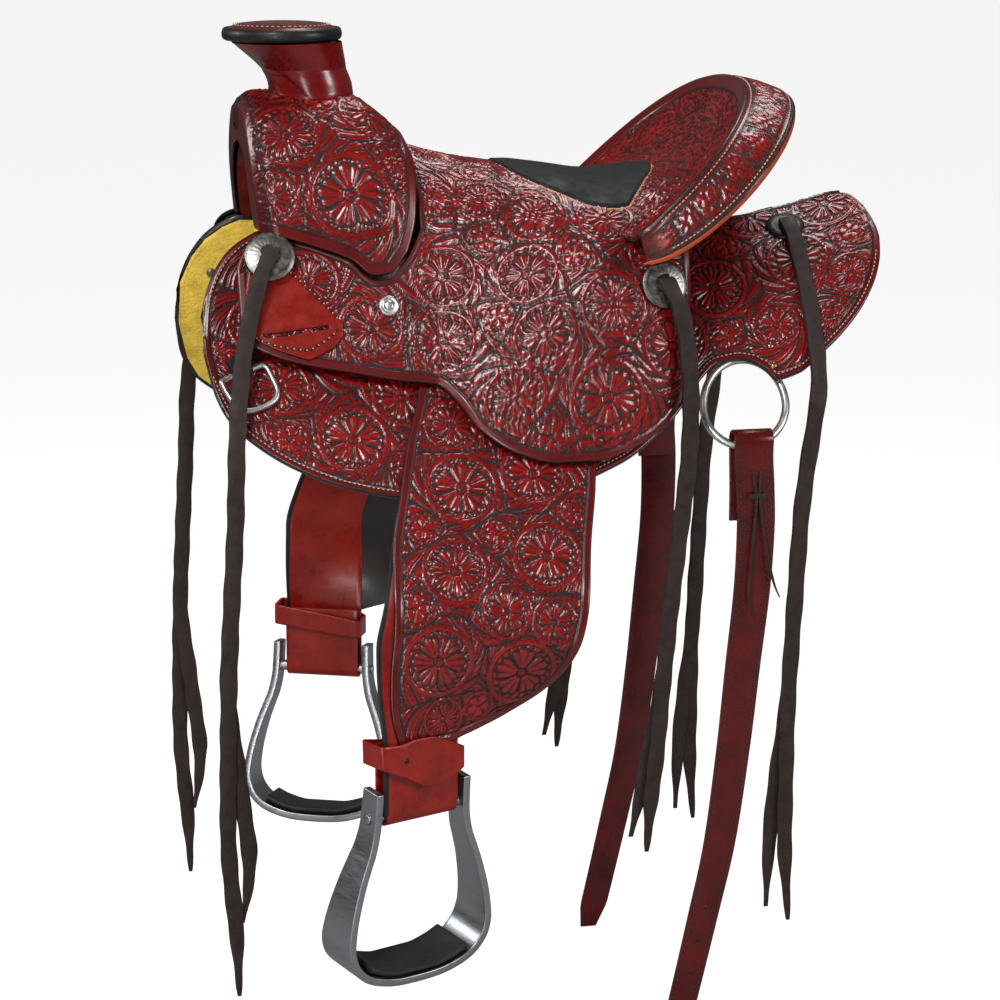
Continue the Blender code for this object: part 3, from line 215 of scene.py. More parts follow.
# swell: a runs from 0 at the top to 1 at the lower border, w from 0 at the front edge to 1 at the rear edge
SWELL_Y = [(0, 0), (.2, .040), (.45, .078), (.7, .098), (1, .112), (1.1, .117)]
SWELL_Z = [(0, .156), (.2, .149), (.45, .112), (.7, .062), (1, -.004), (1.1, -.027)]
SWELL_END = [(0, .87), (.3, .93), (.6, 1.0), (.8, 1.07), (.92, 1.06), (1, .97)]   # lower border, as a against w
SWELL_FRONT = [(0, -.274), (.5, -.272), (1, -.262)]
SWELL_REAR = [(0, -.118), (.35, -.110), (.6, -.105), (.8, -.108), (1.06, -.126)]
SWELL_DROP = [(0, .047), (.3, .036), (.6, .014), (1, .004)]
GULLET_Y = [(0, 0), (.25, .035), (.5, .055), (1, .066)]
GULLET_Z = [(0, .100), (.25, .090), (.5, .062), (1, -.012)]


def swell(w, a, inset=0.0):
    w, a = np.asarray(w, float) + 0 * np.asarray(a, float), np.asarray(a, float) + 0 * np.asarray(w, float)
    y, z = curve(SWELL_Y, a), curve(SWELL_Z, a)
    e = 1e-3
    dy, dz = curve(SWELL_Y, a + e) - curve(SWELL_Y, a - e), curve(SWELL_Z, a + e) - curve(SWELL_Z, a - e)
    n = np.hypot(dy, dz) + 1e-12
    ny, nz = -dz / n, dy / n
    ny, nz = np.where(a < 1e-6, 0, ny), np.where(a < 1e-6, 1, nz)
    x0, x1 = curve(SWELL_FRONT, a), curve(SWELL_REAR, a)
    drop = .012 * np.clip(1 - w / .12, 0, 1) ** 2 + curve(SWELL_DROP, a) * np.clip((w - .62) / .38, 0, 1) ** 2
    # the leather slopes down from the middle towards the rear of the fork
    return np.stack([x0 + (x1 - x0) * w, y - (drop + inset) * ny, z - (drop + inset) * nz], -1)


def gullet(w, a):
    w, a = np.asarray(w, float) + 0 * np.asarray(a, float), np.asarray(a, float) + 0 * np.asarray(w, float)
    x0, x1 = curve(SWELL_FRONT, a) + .002, -.150
    return np.stack([x0 + (x1 - x0) * w, curve(GULLET_Y, a), curve(GULLET_Z, a)], -1)


FENDER_FRONT = [(.175, -.112), (.206, -.119), (.254, -.135), (.314, -.150), (.37, -.163), (.45, -.170), (.52, -.176), (.568, -.168)]
FENDER_REAR = [(.175, .060), (.206, .060), (.254, .057), (.314, .048), (.37, .036), (.45, .022), (.49, .008), (.52, -.012), (.543, -.049), (.553, -.078), (.5605, -.106), (.568, -.115)]
TWIST_AT = (-.1435, .2765)
TWIST_FROM, TWIST_TO, YAW = -.36, -.47, RAD(24)


def twist(p):
    """The fender and the stirrup leather turn together to set the stirrup at its angle."""
    s = np.clip((TWIST_FROM - p[..., 2]) / (TWIST_FROM - TWIST_TO), 0, 1)
    g = YAW * s * s * (3 - 2 * s)
    dx, dy = p[..., 0] - TWIST_AT[0], p[..., 1] - TWIST_AT[1]
    return np.stack([TWIST_AT[0] + dx * np.cos(g) + dy * np.sin(g), TWIST_AT[1] - dx * np.sin(g) + dy * np.cos(g), p[..., 2]], -1)


def add(name, mesh, mat, origin=None, smooth=True, collection=None):
    ob = bpy.data.objects.new(name, mesh)
    (collection or saddle).objects.link(ob)
    if mat:
        mesh.materials.append(mat)
    if origin is not None:
        mesh.transform(Matrix.Translation(-Vector(origin)))
        ob.location = origin
    if smooth:
        mesh.shade_smooth()
    return ob


def offset(fn, d):
    """The surface fn moved d metres along its own normal (towards +y and +z)."""
    def moved(u, v):
        e = 1e-3
        p = fn(u, v)
        u0, u1, v0, v1 = u - e, u + e, np.clip(v - e, 0, None), v + e
        n = np.cross(fn(u1, v) - fn(u0, v), fn(u, v1) - fn(u, v0))
        n = n / (np.linalg.norm(n, axis=-1)[..., None] + 1e-15)
        n = n * moved.sign
        n[..., 1] = np.where(p[..., 1] < 1e-7, 0, n[..., 1])
        return p + d * n
    moved.sign = 1
    probe = np.cross(fn(np.array([.501]), np.array([.5])) - fn(np.array([.5]), np.array([.5])),
                     fn(np.array([.5]), np.array([.501])) - fn(np.array([.5]), np.array([.5])))[0]
    moved.sign = 1 if probe[1] + probe[2] > 0 else -1
    return moved


def patch(bm, fn, us, vs, skip=None):
    """A grid whose columns stand at us and rows at vs, laid on the surface fn."""
    us, vs = np.array(us, float), np.array(vs, float)
    before = set(bm.verts)
    bmesh.ops.create_grid(bm, x_segments=len(us) - 1, y_segments=len(vs) - 1, size=1.0)
    new = [v for v in bm.verts if v not in before]
    ij = [((v.co.x + 1) / 2 * (len(us) - 1), (v.co.y + 1) / 2 * (len(vs) - 1)) for v in new]
    if skip:
        faces = {f for v in new for f in v.link_faces}
        gone = []
        for f in faces:
            c = f.calc_center_median()
            i, j = (c.x + 1) / 2 * (len(us) - 1), (c.y + 1) / 2 * (len(vs) - 1)
            if skip(np.interp(i, range(len(us)), us), np.interp(j, range(len(vs)), vs)):
                gone.append(f)
        bmesh.ops.delete(bm, geom=gone, context="FACES")
        keep = [(v, q) for v, q in zip(new, ij) if v.is_valid]
        new, ij = [k[0] for k in keep], [k[1] for k in keep]
    u = us[np.round([q[0] for q in ij]).astype(int)]
    w = vs[np.round([q[1] for q in ij]).astype(int)]
    for v, p in zip(new, fn(u, w)):
        v.co = p


def sheet(name, mat, patches, thick, side=None, out=(0, 1, .6), inward=False, origin=None, mirror=False, weld=True, centred=False):
    """Leather cut to the given patches, with Solidify for its thickness. side mirrors it to -y or +y."""
    bm = bmesh.new()
    for p in patches:
        patch(bm, *p)
    if weld:
        bmesh.ops.remove_doubles(bm, verts=bm.verts, dist=2e-5)
    bmesh.ops.recalc_face_normals(bm, faces=bm.faces)
    want = Vector(out)
    if sum(f.normal.dot(want) * f.calc_area() for f in bm.faces) < 0:
        bmesh.ops.reverse_faces(bm, faces=bm.faces)
    if side is not None and side < 0:
        for v in bm.verts:
            v.co.y = -v.co.y
        bmesh.ops.reverse_faces(bm, faces=bm.faces)
    mesh = bpy.data.meshes.new(name)
    bm.to_mesh(mesh)
    bm.free()
    ob = add(name, mesh, mat, origin)
    if mirror:
        m = ob.modifiers.new("Mirror", "MIRROR")
        m.use_axis = (False, True, False)
        m.merge_threshold = 1e-4
    s = ob.modifiers.new("Solidify", "SOLIDIFY")
    s.thickness = thick
    s.offset = 0 if centred else (-1 if inward else 1)
    s.use_even_offset = False
    return ob


def mirrored(p, side):
    return Vector((p[0], side * p[1], p[2]))


def frame_of(normal):
    """Rotation whose z axis is normal."""
    z = Vector(normal).normalized()
    up = (1, 0, 0) if abs(z.z) > .9 else (0, 0, 1)
    x = Vector(up).cross(z).normalized()
    return Matrix((x, z.cross(x), z)).transposed().to_4x4()


def turned(name, mat, profile, place, normal, steps=24, origin=None):
    """A Screw of the (radius, height) profile, standing at place with its axis along normal."""
    bm = bmesh.new()
    verts = [bm.verts.new((r, 0, h)) for r, h in profile]
    for a, b in zip(verts, verts[1:]):
        bm.edges.new((a, b))
    if profile[0][0] > 0:
        bm.edges.new((verts[-1], verts[0]))
    mesh = bpy.data.meshes.new(name)
    bm.to_mesh(mesh)
    bm.free()
    ob = add(name, mesh, mat)
    s = ob.modifiers.new("Screw", "SCREW")
    s.steps = s.render_steps = steps
    s.use_merge_vertices = True
    s.merge_threshold = 1e-5
    ob.matrix_world = Matrix.Translation(Vector(place)) @ frame_of(normal)
    return ob


def loop_wire(name, mat, points, radius, origin=None, cyclic=True):
    """A bent wire through points."""
    data = bpy.data.curves.new(name, "CURVE")
    data.dimensions = "3D"
    data.bevel_depth = radius
    data.bevel_resolution = 2
    data.use_fill_caps = not cyclic
    s = data.splines.new("POLY")
    s.points.add(len(points) - 1)
    o = Vector(origin) if origin is not None else Vector((0, 0, 0))
    for q, p in zip(s.points, points):
        q.co = (*(Vector(p) - o), 1)
    s.use_cyclic_u = cyclic
    data.materials.append(mat)
    ob = bpy.data.objects.new(name, data)
    ob.location = o
    saddle.objects.link(ob)
    return ob


def loft(name, mat, rings, origin=None):
    """A solid through closed sections, with its first and last section as end faces."""
    bm = bmesh.new()
    loops = []
    for ring in rings:
        vs = [bm.verts.new(p) for p in ring]
        loops.append([bm.edges.new((vs[i], vs[(i + 1) % len(vs)])) for i in range(len(vs))])
    for a, b in zip(loops, loops[1:]):
        bmesh.ops.bridge_loops(bm, edges=a + b)
    bmesh.ops.contextual_create(bm, geom=loops[0])
    bmesh.ops.contextual_create(bm, geom=loops[-1])
    bmesh.ops.triangulate(bm, faces=[f for f in bm.faces if len(f.verts) > 4])
    bmesh.ops.recalc_face_normals(bm, faces=bm.faces)
    mesh = bpy.data.meshes.new(name)
    bm.to_mesh(mesh)
    bm.free()
    return add(name, mesh, mat, origin, smooth=False)


def smooth_path(points, step):
    """Points step apart along a Catmull-Rom curve through the given points."""
    P = np.array(points, float)
    P = np.vstack([2 * P[0] - P[1], P, 2 * P[-1] - P[-2]])
    fine = []
    for k in range(1, len(P) - 2):
        s = np.linspace(0, 1, 24, endpoint=False)[:, None]
        a, b, c, d = P[k - 1], P[k], P[k + 1], P[k + 2]
        fine.append(.5 * (2 * b + (c - a) * s + (2 * a - 5 * b + 4 * c - d) * s ** 2 + (3 * b - a - 3 * c + d) * s ** 3))
    fine = np.vstack(fine + [P[-2:-1]])
    run = np.concatenate([[0], np.cumsum(np.linalg.norm(np.diff(fine, axis=0), axis=1))])
    n = max(2, int(round(run[-1] / step)) + 1)
    at = np.linspace(0, run[-1], n)
    return np.stack([np.interp(at, run, fine[:, k]) for k in range(3)], -1)


def strap(name, mat, path, width, thick, across=(1, 0, 0), side=1, origin=None, warp=None):
    """A flat strap whose middle line is path; width is a number or a function of the part of the length."""
    P = np.array(path, float)
    run = np.concatenate([[0], np.cumsum(np.linalg.norm(np.diff(P, axis=0), axis=1))])
    part = run / run[-1]
    W = np.array([width(s) for s in part]) if callable(width) else np.full(len(P), float(width))
    A = np.array(across, float)
    A = np.repeat(A[None], len(P), 0) if A.ndim == 1 else A

    def fn(u, v):
        i = np.round(u * (len(P) - 1)).astype(int)
        q = P[i] + A[i] * (W[i] * (v - .5))[:, None]
        return warp(q) if warp else q
    bm = bmesh.new()
    patch(bm, fn, np.linspace(0, 1, len(P)), [0, 1])
    bmesh.ops.recalc_face_normals(bm, faces=bm.faces)
    if side < 0:
        for v in bm.verts:
            v.co.y = -v.co.y
        bmesh.ops.reverse_faces(bm, faces=bm.faces)
    mesh = bpy.data.meshes.new(name)
    bm.to_mesh(mesh)
    bm.free()
    ob = add(name, mesh, mat, origin)
    s = ob.modifiers.new("Solidify", "SOLIDIFY")
    s.thickness, s.offset = thick, 0
    return ob


def between(top, low, off, margin=0.0):
    def fn(x, s):
        a, b = curve(top, x) + margin, curve(low, x) - margin
        return skirt_at(x, a + (b - a) * s, off)
    return fn


def swell_cover(w, a):
    end = curve(SWELL_END, np.clip(w, 0, 1))
    face = swell(np.clip(w, 0, 1), a * end)
    lip = gullet(0 * w, np.minimum(a, 1) * .76)
    lip = lip + np.array([-.002, 0, 0])
    s = np.clip(-w, 0, 1)[..., None]
    return face + (lip - face) * s


HORN_LEAN = [(.145, -.197), (.160, -.1975), (.175, -.203), (.187, -.2095), (.198, -.217), (.2055, -.2218)]
WRAP_R = [(.150, .0440), (.160, .0428), (.175, .0425), (.187, .0470), (.198, .0525), (.205, .0560)]


def swell_height(x, y):
    """Height of the swell's top at x, y."""
    w = np.clip((x + .274) / .156, 0, 1)
    a = np.linspace(0, .6, 121)
    p = swell(np.full_like(a, w), a)
    return float(np.interp(abs(y), p[:, 1], p[:, 2]))


NOTCH = [(-.291, .825), (-.286, .775), (-.280, .740), (-.272, .703), (-.264, .688), (-.249, .687), (-.234, .690), (-.219, .699), (-.205, .710), (-.191, .722), (-.178, .735), (-.166, .768), (-.153, .786), (-.139, .776), (-.128, .745), (-.118, .71), (-.110, .665), (-.104, .62)]


SEAT_FRONT = [(0, -.1165), (.13, -.1150), (.26, -.1085), (.38, -.1045), (.5, -.1030), (.62, -.104), (1, -.104)]


def front_jockey(x, s):
    n = curve(NOTCH, x)
    return seat_section(x, n + (1 - n) * s)


def seat_main(u, v):
    x = curve(SEAT_FRONT, v)
    return seat_section(x + (DISH_FROM - x) * u, v)


def rear_jockey(x, s):
    n = .50 + (x - DISH_FROM) * .9
    return seat_section(x, n + (1 - n) * s)


def seat_top(x, v):
    """Seat from the fork to part way up the dish, by x and v."""
    u = np.clip((x - DISH_FROM) / .30, 0, 1)
    return np.where((x > DISH_FROM)[..., None], dish(u, v / DISH_V), seat_section(np.minimum(x, DISH_FROM), v))


PAD_V = [(-.012, .01), (.0, .20), (.04, .335), (.065, .375), (.10, .36), (.150, .36), (.18, .30), (.196, .14)]
CARRIER = {"top": [(-.284, .880), (-.278, .800), (-.262, .755), (-.246, .765), (-.229, .800), (-.205, .858), (-.190, .900)],
           "low": [(-.284, .955), (-.278, .980), (-.262, .985), (-.240, .988), (-.228, .990), (-.214, .975), (-.198, .950), (-.190, .925)]}
CARRIER_SLOT = [(-.271, .966), (-.238, .936), (-.203, .910)]


def carrier(x, s):
    """A pick-shaped leather; the rows at .72 and .78 are the two edges of its slot."""
    a, b, c = curve(CARRIER["top"], x), curve(CARRIER["low"], x), curve(CARRIER_SLOT, x)
    lo, hi = np.maximum(c - .0055, a + .006), np.minimum(c + .0055, b - .006)
    lo = np.minimum(lo, hi - .003)
    v = np.where(s < .72, a + (lo - a) * s / .72, np.where(s > .78, hi + (b - hi) * (s - .78) / .22, lo + (hi - lo) * (s - .72) / .06))
    return seat_section(x, v)


def seat_spot(x, v, off):
    """A place on the seat, off metres out of it, and the outward normal there."""
    e = 1e-3
    f = lambda a, b: seat_section(np.array([a]), np.array([b]))[0]
    n = np.cross(f(x + e, v) - f(x - e, v), f(x, v + e) - f(x, v - e))
    n = n / np.linalg.norm(n)
    n = n if n[1] > 0 else -n
    return f(x, v) + off * n, n


def drape_spot(x, t, off):
    e = 1e-3
    f = lambda a, b: drape(np.array([a]), np.array([b]), off)[0]
    n = np.cross(f(x + e, t) - f(x - e, t), f(x, t + e) - f(x, t - e))
    n = n / np.linalg.norm(n)
    return f(x, t), n if n[1] > 0 else -n


FRONT_CONCHO_AT = seat_spot(-.259, .762, .0138)[0]
SEAT_CONCHO_AT, SEAT_CONCHO_FACE = seat_spot(.126, .675, .0038)
DOWN_SLOPE = np.array([0, math.cos(SLOPE_SIDE), -math.sin(SLOPE_SIDE)])
OUT_SLOPE = np.array([0, math.sin(SLOPE_SIDE), math.cos(SLOPE_SIDE)])


def skirt_plane(x, t, off):
    """Point, lengthwise direction and downward direction of the plane that touches the skirt at x, t."""
    p = drape(np.array([x]), np.array([t]), off)[0]
    e1 = drape(np.array([x + .001]), np.array([t]), off)[0] - drape(np.array([x - .001]), np.array([t]), off)[0]
    return p, e1 / np.linalg.norm(e1), DOWN_SLOPE


REAR_C, REAR_E1, REAR_E2 = skirt_plane(REAR_RING_X, REAR_RING_T, -.0070)
RING_FOOT = REAR_C + REAR_E2 * REAR_RING_R
HINGE = drape(np.array([FENDER_HINGE_X]), np.array([FENDER_HINGE_T]), .010)[0]
PLUMB_Y = float(drape(np.array([0.]), np.array([.5]), 0, hang=True)[0][1])
BOLT = np.array([TWIST_AT[0], PLUMB_Y + .0065 - .0078, BOLT_Z])
BOLT_AT = twist(BOLT[None])[0]
ACROSS = np.array([math.cos(YAW), -math.sin(YAW), 0])
FACING = np.array([math.sin(YAW), math.cos(YAW), 0])


def fender(s, t):
    a, b = curve([(q, x) for q, x in FENDER_FRONT], t), curve([(q, x) for q, x in FENDER_REAR], t)
    return twist(drape(a + (b - a) * s, t, .0108, hang=True))


HANG = FACING * math.sin(STIRRUP_LEAN) - np.array([0, 0, math.cos(STIRRUP_LEAN)])
DEEP = FACING * math.cos(STIRRUP_LEAN) + np.array([0, 0, math.sin(STIRRUP_LEAN)])


def stirrup_point(a, b, z):
    """A place on the stirrup: a along the bolt, b across the tread, z up from the bolt."""
    return BOLT_AT + np.outer(a, ACROSS) + np.outer(b, DEEP) - np.outer(z, HANG)


STIRRUP_SIDE = [(-.0520, .029), (-.0524, .010), (-.0535, -.010), (-.0575, -.030), (-.0630, -.045), (-.0705, -.066), (-.0780, -.094), (-.0815, -.116), (-.0815, -.130),
                (-.0765, -.145), (-.0640, -.1585), (-.0450, -.1670), (-.0200, -.1715)]
STIRRUP_PATH = STIRRUP_SIDE + [(-a, z) for a, z in STIRRUP_SIDE[::-1]]
STIRRUP_DEPTH = [(-.1715, .054), (-.145, .053), (-.10, .045), (-.05, .034), (-.01, .027), (.029, .025)]
TREAD_LOW = [(0, -.1664), (.0200, -.1664), (.0430, -.1615), (.0590, -.1545)]

def from_concho(place, face, toward, reach):
    """The outer ply where it leaves a concho of the given radius, going towards the direction toward."""
    n = np.array(face, float) / np.linalg.norm(face)
    d = np.array(toward, float) - np.dot(toward, n) * n
    d = d / np.linalg.norm(d)
    return [tuple(place + n * STRING_RISE - d * .004), tuple(place + n * STRING_RISE + d * reach * .6), tuple(place + n * (STRING_RISE - .0012) + d * (reach + .004))]


def on_skirt(x, t, off):
    return tuple(drape(np.array([x]), np.array([t]), off)[0])


FRONT_STRING = {"a": from_concho(FRONT_CONCHO_AT, FRONT_CONCHO_FACE, (-.42, 0, -1), .024) + [
                     (-.289, .1480, -.076), (-.300, .1745, -.130), (-.306, .192, -.180), (-.309, .195, -.25),
                     (-.315, .194, -.345), (-.319, .194, -.426), (-.321, .194, -.487), (-.322, .194, -.581), (-.316, .194, -.665), (-.314, .194, -.735)],
                "b": [(-.319, .190, -.426), (-.312, .190, -.489), (-.306, .190, -.541), (-.301, .190, -.584), (-.303, .190, -.626), (-.309, .190, -.659)], "split": 9}
SEAT_STRING = {"a": from_concho(SEAT_CONCHO_AT, SEAT_CONCHO_FACE, (.40, 0, -1), .023) + [
                    (.147, .1965, -.092), (.152, .1930, -.145), (.151, .1915, -.207), (.142, .191, -.289),
                    (.135, .191, -.351), (.127, .191, -.435), (.121, .191, -.509), (.115, .191, -.562), (.111, .191, -.616)],
               "b": [(.127, .187, -.435), (.116, .187, -.498), (.106, .187, -.55), (.095, .187, -.600)], "split": 9}
BACK_STRING = {"a": [on_skirt(.300, .034, .0156), on_skirt(.301, .058, .0146), on_skirt(.301, .085, .0118), on_skirt(.301, .115, .0116), on_skirt(.301, .150, .0116),
                     on_skirt(.300, .180, .0116), on_skirt(.299, .204, .0120), (.293, .1735, -.150), (.286, .174, -.20),
                     (.278, .174, -.265), (.273, .174, -.35), (.267, .174, -.468), (.266, .174, -.555), (.266, .175, -.632), (.271, .175, -.709)],
               "b": [(.267, .170, -.468), (.256, .170, -.556), (.250, .170, -.632), (.248, .170, -.694)], "split": 12}

# ---------------------------------------------------------------- looks: materials

COLL = bpy.data.collections.new("looks")
bpy.context.scene.collection.children.link(COLL)
saddle = COLL
SIDES = {"near": -1, "off": 1}


def new_mat(name):
    m = bpy.data.materials.new(name)
    m.use_nodes = True
    t = m.node_tree
    return m, t, t.nodes["Principled BSDF"]


def node(t, kind, **kw):
    n = t.nodes.new(kind)
    for k, v in kw.items():
        setattr(n, k, v)
    return n


def noise(t, scale, detail=4, rough=.55):
    c = node(t, "ShaderNodeTexCoord")
    n = node(t, "ShaderNodeTexNoise")
    n.inputs["Scale"].default_value = scale
    n.inputs["Detail"].default_value = detail
    n.inputs["Roughness"].default_value = rough
    t.links.new(c.outputs["Object"], n.inputs["Vector"])
    return n


def ramp(t, source, stops):
    r = node(t, "ShaderNodeValToRGB")
    e = r.color_ramp.elements
    while len(e) < len(stops):
        e.new(.5)
    for k, (pos, col) in zip(e, stops):
        k.position = pos
        k.color = (*col, 1) if len(col) == 3 else (col[0], col[0], col[0], 1)
    t.links.new(source, r.inputs["Fac"])
    return r


def mult(t, a, b, fac=1.0):
    m = node(t, "ShaderNodeMix", data_type="RGBA", blend_type="MULTIPLY")
    m.inputs[0].default_value = fac
    t.links.new(a, m.inputs[6])
    t.links.new(b, m.inputs[7])
    return m.outputs[2]


def mixc(t, fac, a, b):
    m = node(t, "ShaderNodeMix", data_type="RGBA")
    t.links.new(fac, m.inputs[0])
    for s, k in ((a, 6), (b, 7)):
        if isinstance(s, tuple):
            m.inputs[k].default_value = (*s, 1)
        else:
            t.links.new(s, m.inputs[k])
    return m.outputs[2]


def bump(t, bsdf, height, strength, dist=.0006, prev=None):
    b = node(t, "ShaderNodeBump")
    b.inputs["Strength"].default_value = strength
    b.inputs["Distance"].default_value = dist
    t.links.new(height, b.inputs["Height"])
    if prev is not None:
        t.links.new(prev, b.inputs["Normal"])
    t.links.new(b.outputs["Normal"], bsdf.inputs["Normal"])
    return b.outputs["Normal"]


def attr(t, name):
    return node(t, "ShaderNodeAttribute", attribute_name=name).outputs["Fac"]


def leather_tooled():
    m, t, s = new_mat("tooled_leather_look")
    k = attr(t, "tone_with_painted_shade")
    # the colour runs from near black where the carving lies low to red on its raised tops: painted shade in the cuts
    col = ramp(t, k, [(0, (.0030, .0007, .0008)), (.25, (.016, .0008, .0008)), (.55, (.078, .0012, .0011)), (.8, (.165, .0022, .0016)), (1, (.262, .0048, .0026))])
    patchy = ramp(t, noise(t, 26, 5).outputs["Fac"], [(.30, (.62,)), (.70, (1.18,))])
    fine = ramp(t, noise(t, 420, 3).outputs["Fac"], [(.3, (.80,)), (.7, (1.12,))])
    c = mult(t, mult(t, col.outputs["Color"], patchy.outputs["Color"]), fine.outputs["Color"])
    t.links.new(mixc(t, attr(t, "edge"), c, (.006, .004, .004)), s.inputs["Base Color"])
    r = ramp(t, k, [(0, (.60,)), (.5, (.32,)), (1, (.225,))])
    t.links.new(r.outputs["Color"], s.inputs["Roughness"])
    v = node(t, "ShaderNodeTexVoronoi")
    v.inputs["Scale"].default_value = 620
    co = node(t, "ShaderNodeTexCoord")
    t.links.new(co.outputs["Object"], v.inputs["Vector"])
    inv = ramp(t, k, [(.05, (1.0,)), (.35, (.0,))])
    mat = mult(t, v.outputs["Distance"], inv.outputs["Color"])
    n1 = bump(t, s, mat, .9, .0009)
    bump(t, s, noise(t, 900, 3).outputs["Fac"], .25, .0005, n1)
    s.inputs["Coat Weight"].default_value = .28
    s.inputs["Coat Roughness"].default_value = .17
    s.inputs["Specular IOR Level"].default_value = .45
    return m


def leather_smooth(name, dark, light, rough=.33, scale=30, coat=.25, grain=.22):
    m, t, s = new_mat(name)
    n = noise(t, scale, 6, .6)
    col = ramp(t, n.outputs["Fac"], [(.28, dark), (.72, light)])
    fine = ramp(t, noise(t, 300, 3).outputs["Fac"], [(.3, (.86,)), (.7, (1.08,))])
    c = mult(t, col.outputs["Color"], fine.outputs["Color"])
    t.links.new(mixc(t, attr(t, "edge"), c, tuple(x * .12 for x in dark)), s.inputs["Base Color"])
    r = ramp(t, noise(t, 60, 4).outputs["Fac"], [(.3, (rough * .8,)), (.7, (rough * 1.25,))])
    t.links.new(r.outputs["Color"], s.inputs["Roughness"])
    n1 = bump(t, s, noise(t, 620, 4).outputs["Fac"], grain, .0006)
    bump(t, s, noise(t, 45, 3).outputs["Fac"], .25, .0015, n1)
    s.inputs["Coat Weight"].default_value = coat
    s.inputs["Coat Roughness"].default_value = .16
    s.inputs["Specular IOR Level"].default_value = .35
    return m


def metal(name, colour, rough, scale=60, stretch=None, dark=.75, grain=.08):
    m, t, s = new_mat(name)
    n = noise(t, scale, 5, .6)
    if stretch:
        mp = node(t, "ShaderNodeMapping")
        mp.inputs["Scale"].default_value = stretch
        t.links.new(n.inputs["Vector"].links[0].from_socket, mp.inputs["Vector"])
        t.links.new(mp.outputs["Vector"], n.inputs["Vector"])
    c = ramp(t, n.outputs["Fac"], [(.3, tuple(x * dark for x in colour)), (.7, colour)])
    t.links.new(mixc(t, attr(t, "edge"), c.outputs["Color"], (.015, .013, .012)), s.inputs["Base Color"])
    r = ramp(t, n.outputs["Fac"], [(.3, (rough * .75,)), (.7, (rough * 1.3,))])
    t.links.new(r.outputs["Color"], s.inputs["Roughness"])
    bump(t, s, n.outputs["Fac"], grain, .0004)
    s.inputs["Metallic"].default_value = 1.0
    return m


TOOLED = leather_tooled()
PLAIN = leather_smooth("plain_leather_look", (.150, .0026, .0012), (.330, .0130, .0030), .30, 30, .16)
WRAP = leather_smooth("wrap_leather_look", (.070, .0012, .0011), (.185, .0032, .0022), .24, 24, .25)
EDGING = leather_smooth("roll_edge_look", (.40, .050, .008), (.56, .090, .014), .38, 40, .1)
PIPING = leather_smooth("piping_look", (.36, .15, .095), (.52, .27, .18), .45, 60, .05)
BLACK = leather_smooth("black_leather_look", (.0035, .0035, .0040), (.010, .010, .011), .42, 60, .08, .4)
PAD = leather_smooth("pad_leather_look", (.0016, .0028, .0031), (.0046, .0075, .0082), .62, 80, .0, .5)
STRING = leather_smooth("string_leather_look", (.0105, .0052, .0042), (.0330, .0180, .0135), .58, 90, .0, .5)
BRIDLE = leather_smooth("strap_leather_look", (.040, .0012, .0010), (.120, .0026, .0020), .28, 28, .15)
STEEL = metal("steel_look", (.66, .66, .64), .38)
SILVER = metal("silver_look", (.30, .285, .265), .34, 160, None, .55, .3)
ALUMINIUM = metal("aluminium_look", (.36, .375, .395), .34, 60, (1, 1, 9), .86, .05)


def simple(name, colour, rough, scale, lo=.8, hi=1.1, strength=.5, dist=.001, bscale=None):
    m, t, s = new_mat(name)
    n = noise(t, scale, 5, .6)
    c = ramp(t, n.outputs["Fac"], [(.3, tuple(x * lo for x in colour)), (.7, tuple(x * hi for x in colour))])
    t.links.new(mixc(t, attr(t, "edge"), c.outputs["Color"], (.02, .012, .006)), s.inputs["Base Color"])
    s.inputs["Roughness"].default_value = rough
    bump(t, s, noise(t, bscale or scale * 4, 4).outputs["Fac"], strength, dist)
    return m


LINING = simple("lining_look", (.93, .64, .085), .95, 60, .72, 1.12, .9, .002, 340)
RUBBER = simple("rubber_look", (.016, .016, .017), .62, 90, .7, 1.3, .5, .0008)
CREAM = simple("thread_look", (.62, .46, .30), .7, 500, .75, 1.1, .5, .0003)
DARKTHREAD = simple("dark_thread_look", (.030, .020, .014), .6, 500, .7, 1.2, .5, .0003)
COPPER = metal("copper_look", (.55, .26, .15), .30, 120)
WOODM = simple("wood_look", (.40, .25, .12), .6, 30, .7, 1.1, .3, .001)

# ---------------------------------------------------------------- looks: relief builder


def smooth(a, b, x):
    s = np.clip((x - a) / (b - a), 0, 1)
    return s * s * (3 - 2 * s)


def dome(x):
    """A round ridge: 0 at 0, 1 at 1 and beyond."""
    return np.sqrt(1 - (1 - np.clip(x, 0, 1)) ** 2)


def grid_of(fn, us, vs):
    U, V = np.meshgrid(np.asarray(us, float), np.asarray(vs, float), indexing="ij")
    return fn(U.ravel(), V.ravel()).reshape(len(us), len(vs), 3)


def normals_of(P, out=(0, .8, .6)):
    du, dv = np.gradient(P, axis=0), np.gradient(P, axis=1)
    n = np.cross(du, dv)
    n = n / (np.linalg.norm(n, axis=-1)[..., None] + 1e-12)
    if (n @ np.array(out)).mean() < 0:
        n = -n
    return n


def dist_to(points, line, closed=False):
    """Distance from each point to a polyline, and how far along it the nearest place is."""
    A = np.asarray(line, float)
    if closed:
        A = np.vstack([A, A[:1]])
    d = A[1:] - A[:-1]
    L = (d * d).sum(-1) + 1e-18
    run = np.concatenate([[0], np.cumsum(np.sqrt(L))])
    best, where = np.full(len(points), 9.0), np.zeros(len(points))
    for k in range(0, len(points), 8000):
        p = points[k:k + 8000, None, :] - A[None, :-1]
        s = np.clip((p * d[None]).sum(-1) / L[None], 0, 1)
        q = np.linalg.norm(p - s[..., None] * d[None], axis=-1)
        j = q.argmin(1)
        i = np.arange(len(j))
        best[k:k + 8000] = q[i, j]
        where[k:k + 8000] = run[j] + s[i, j] * np.sqrt(L[j])
    return best, where


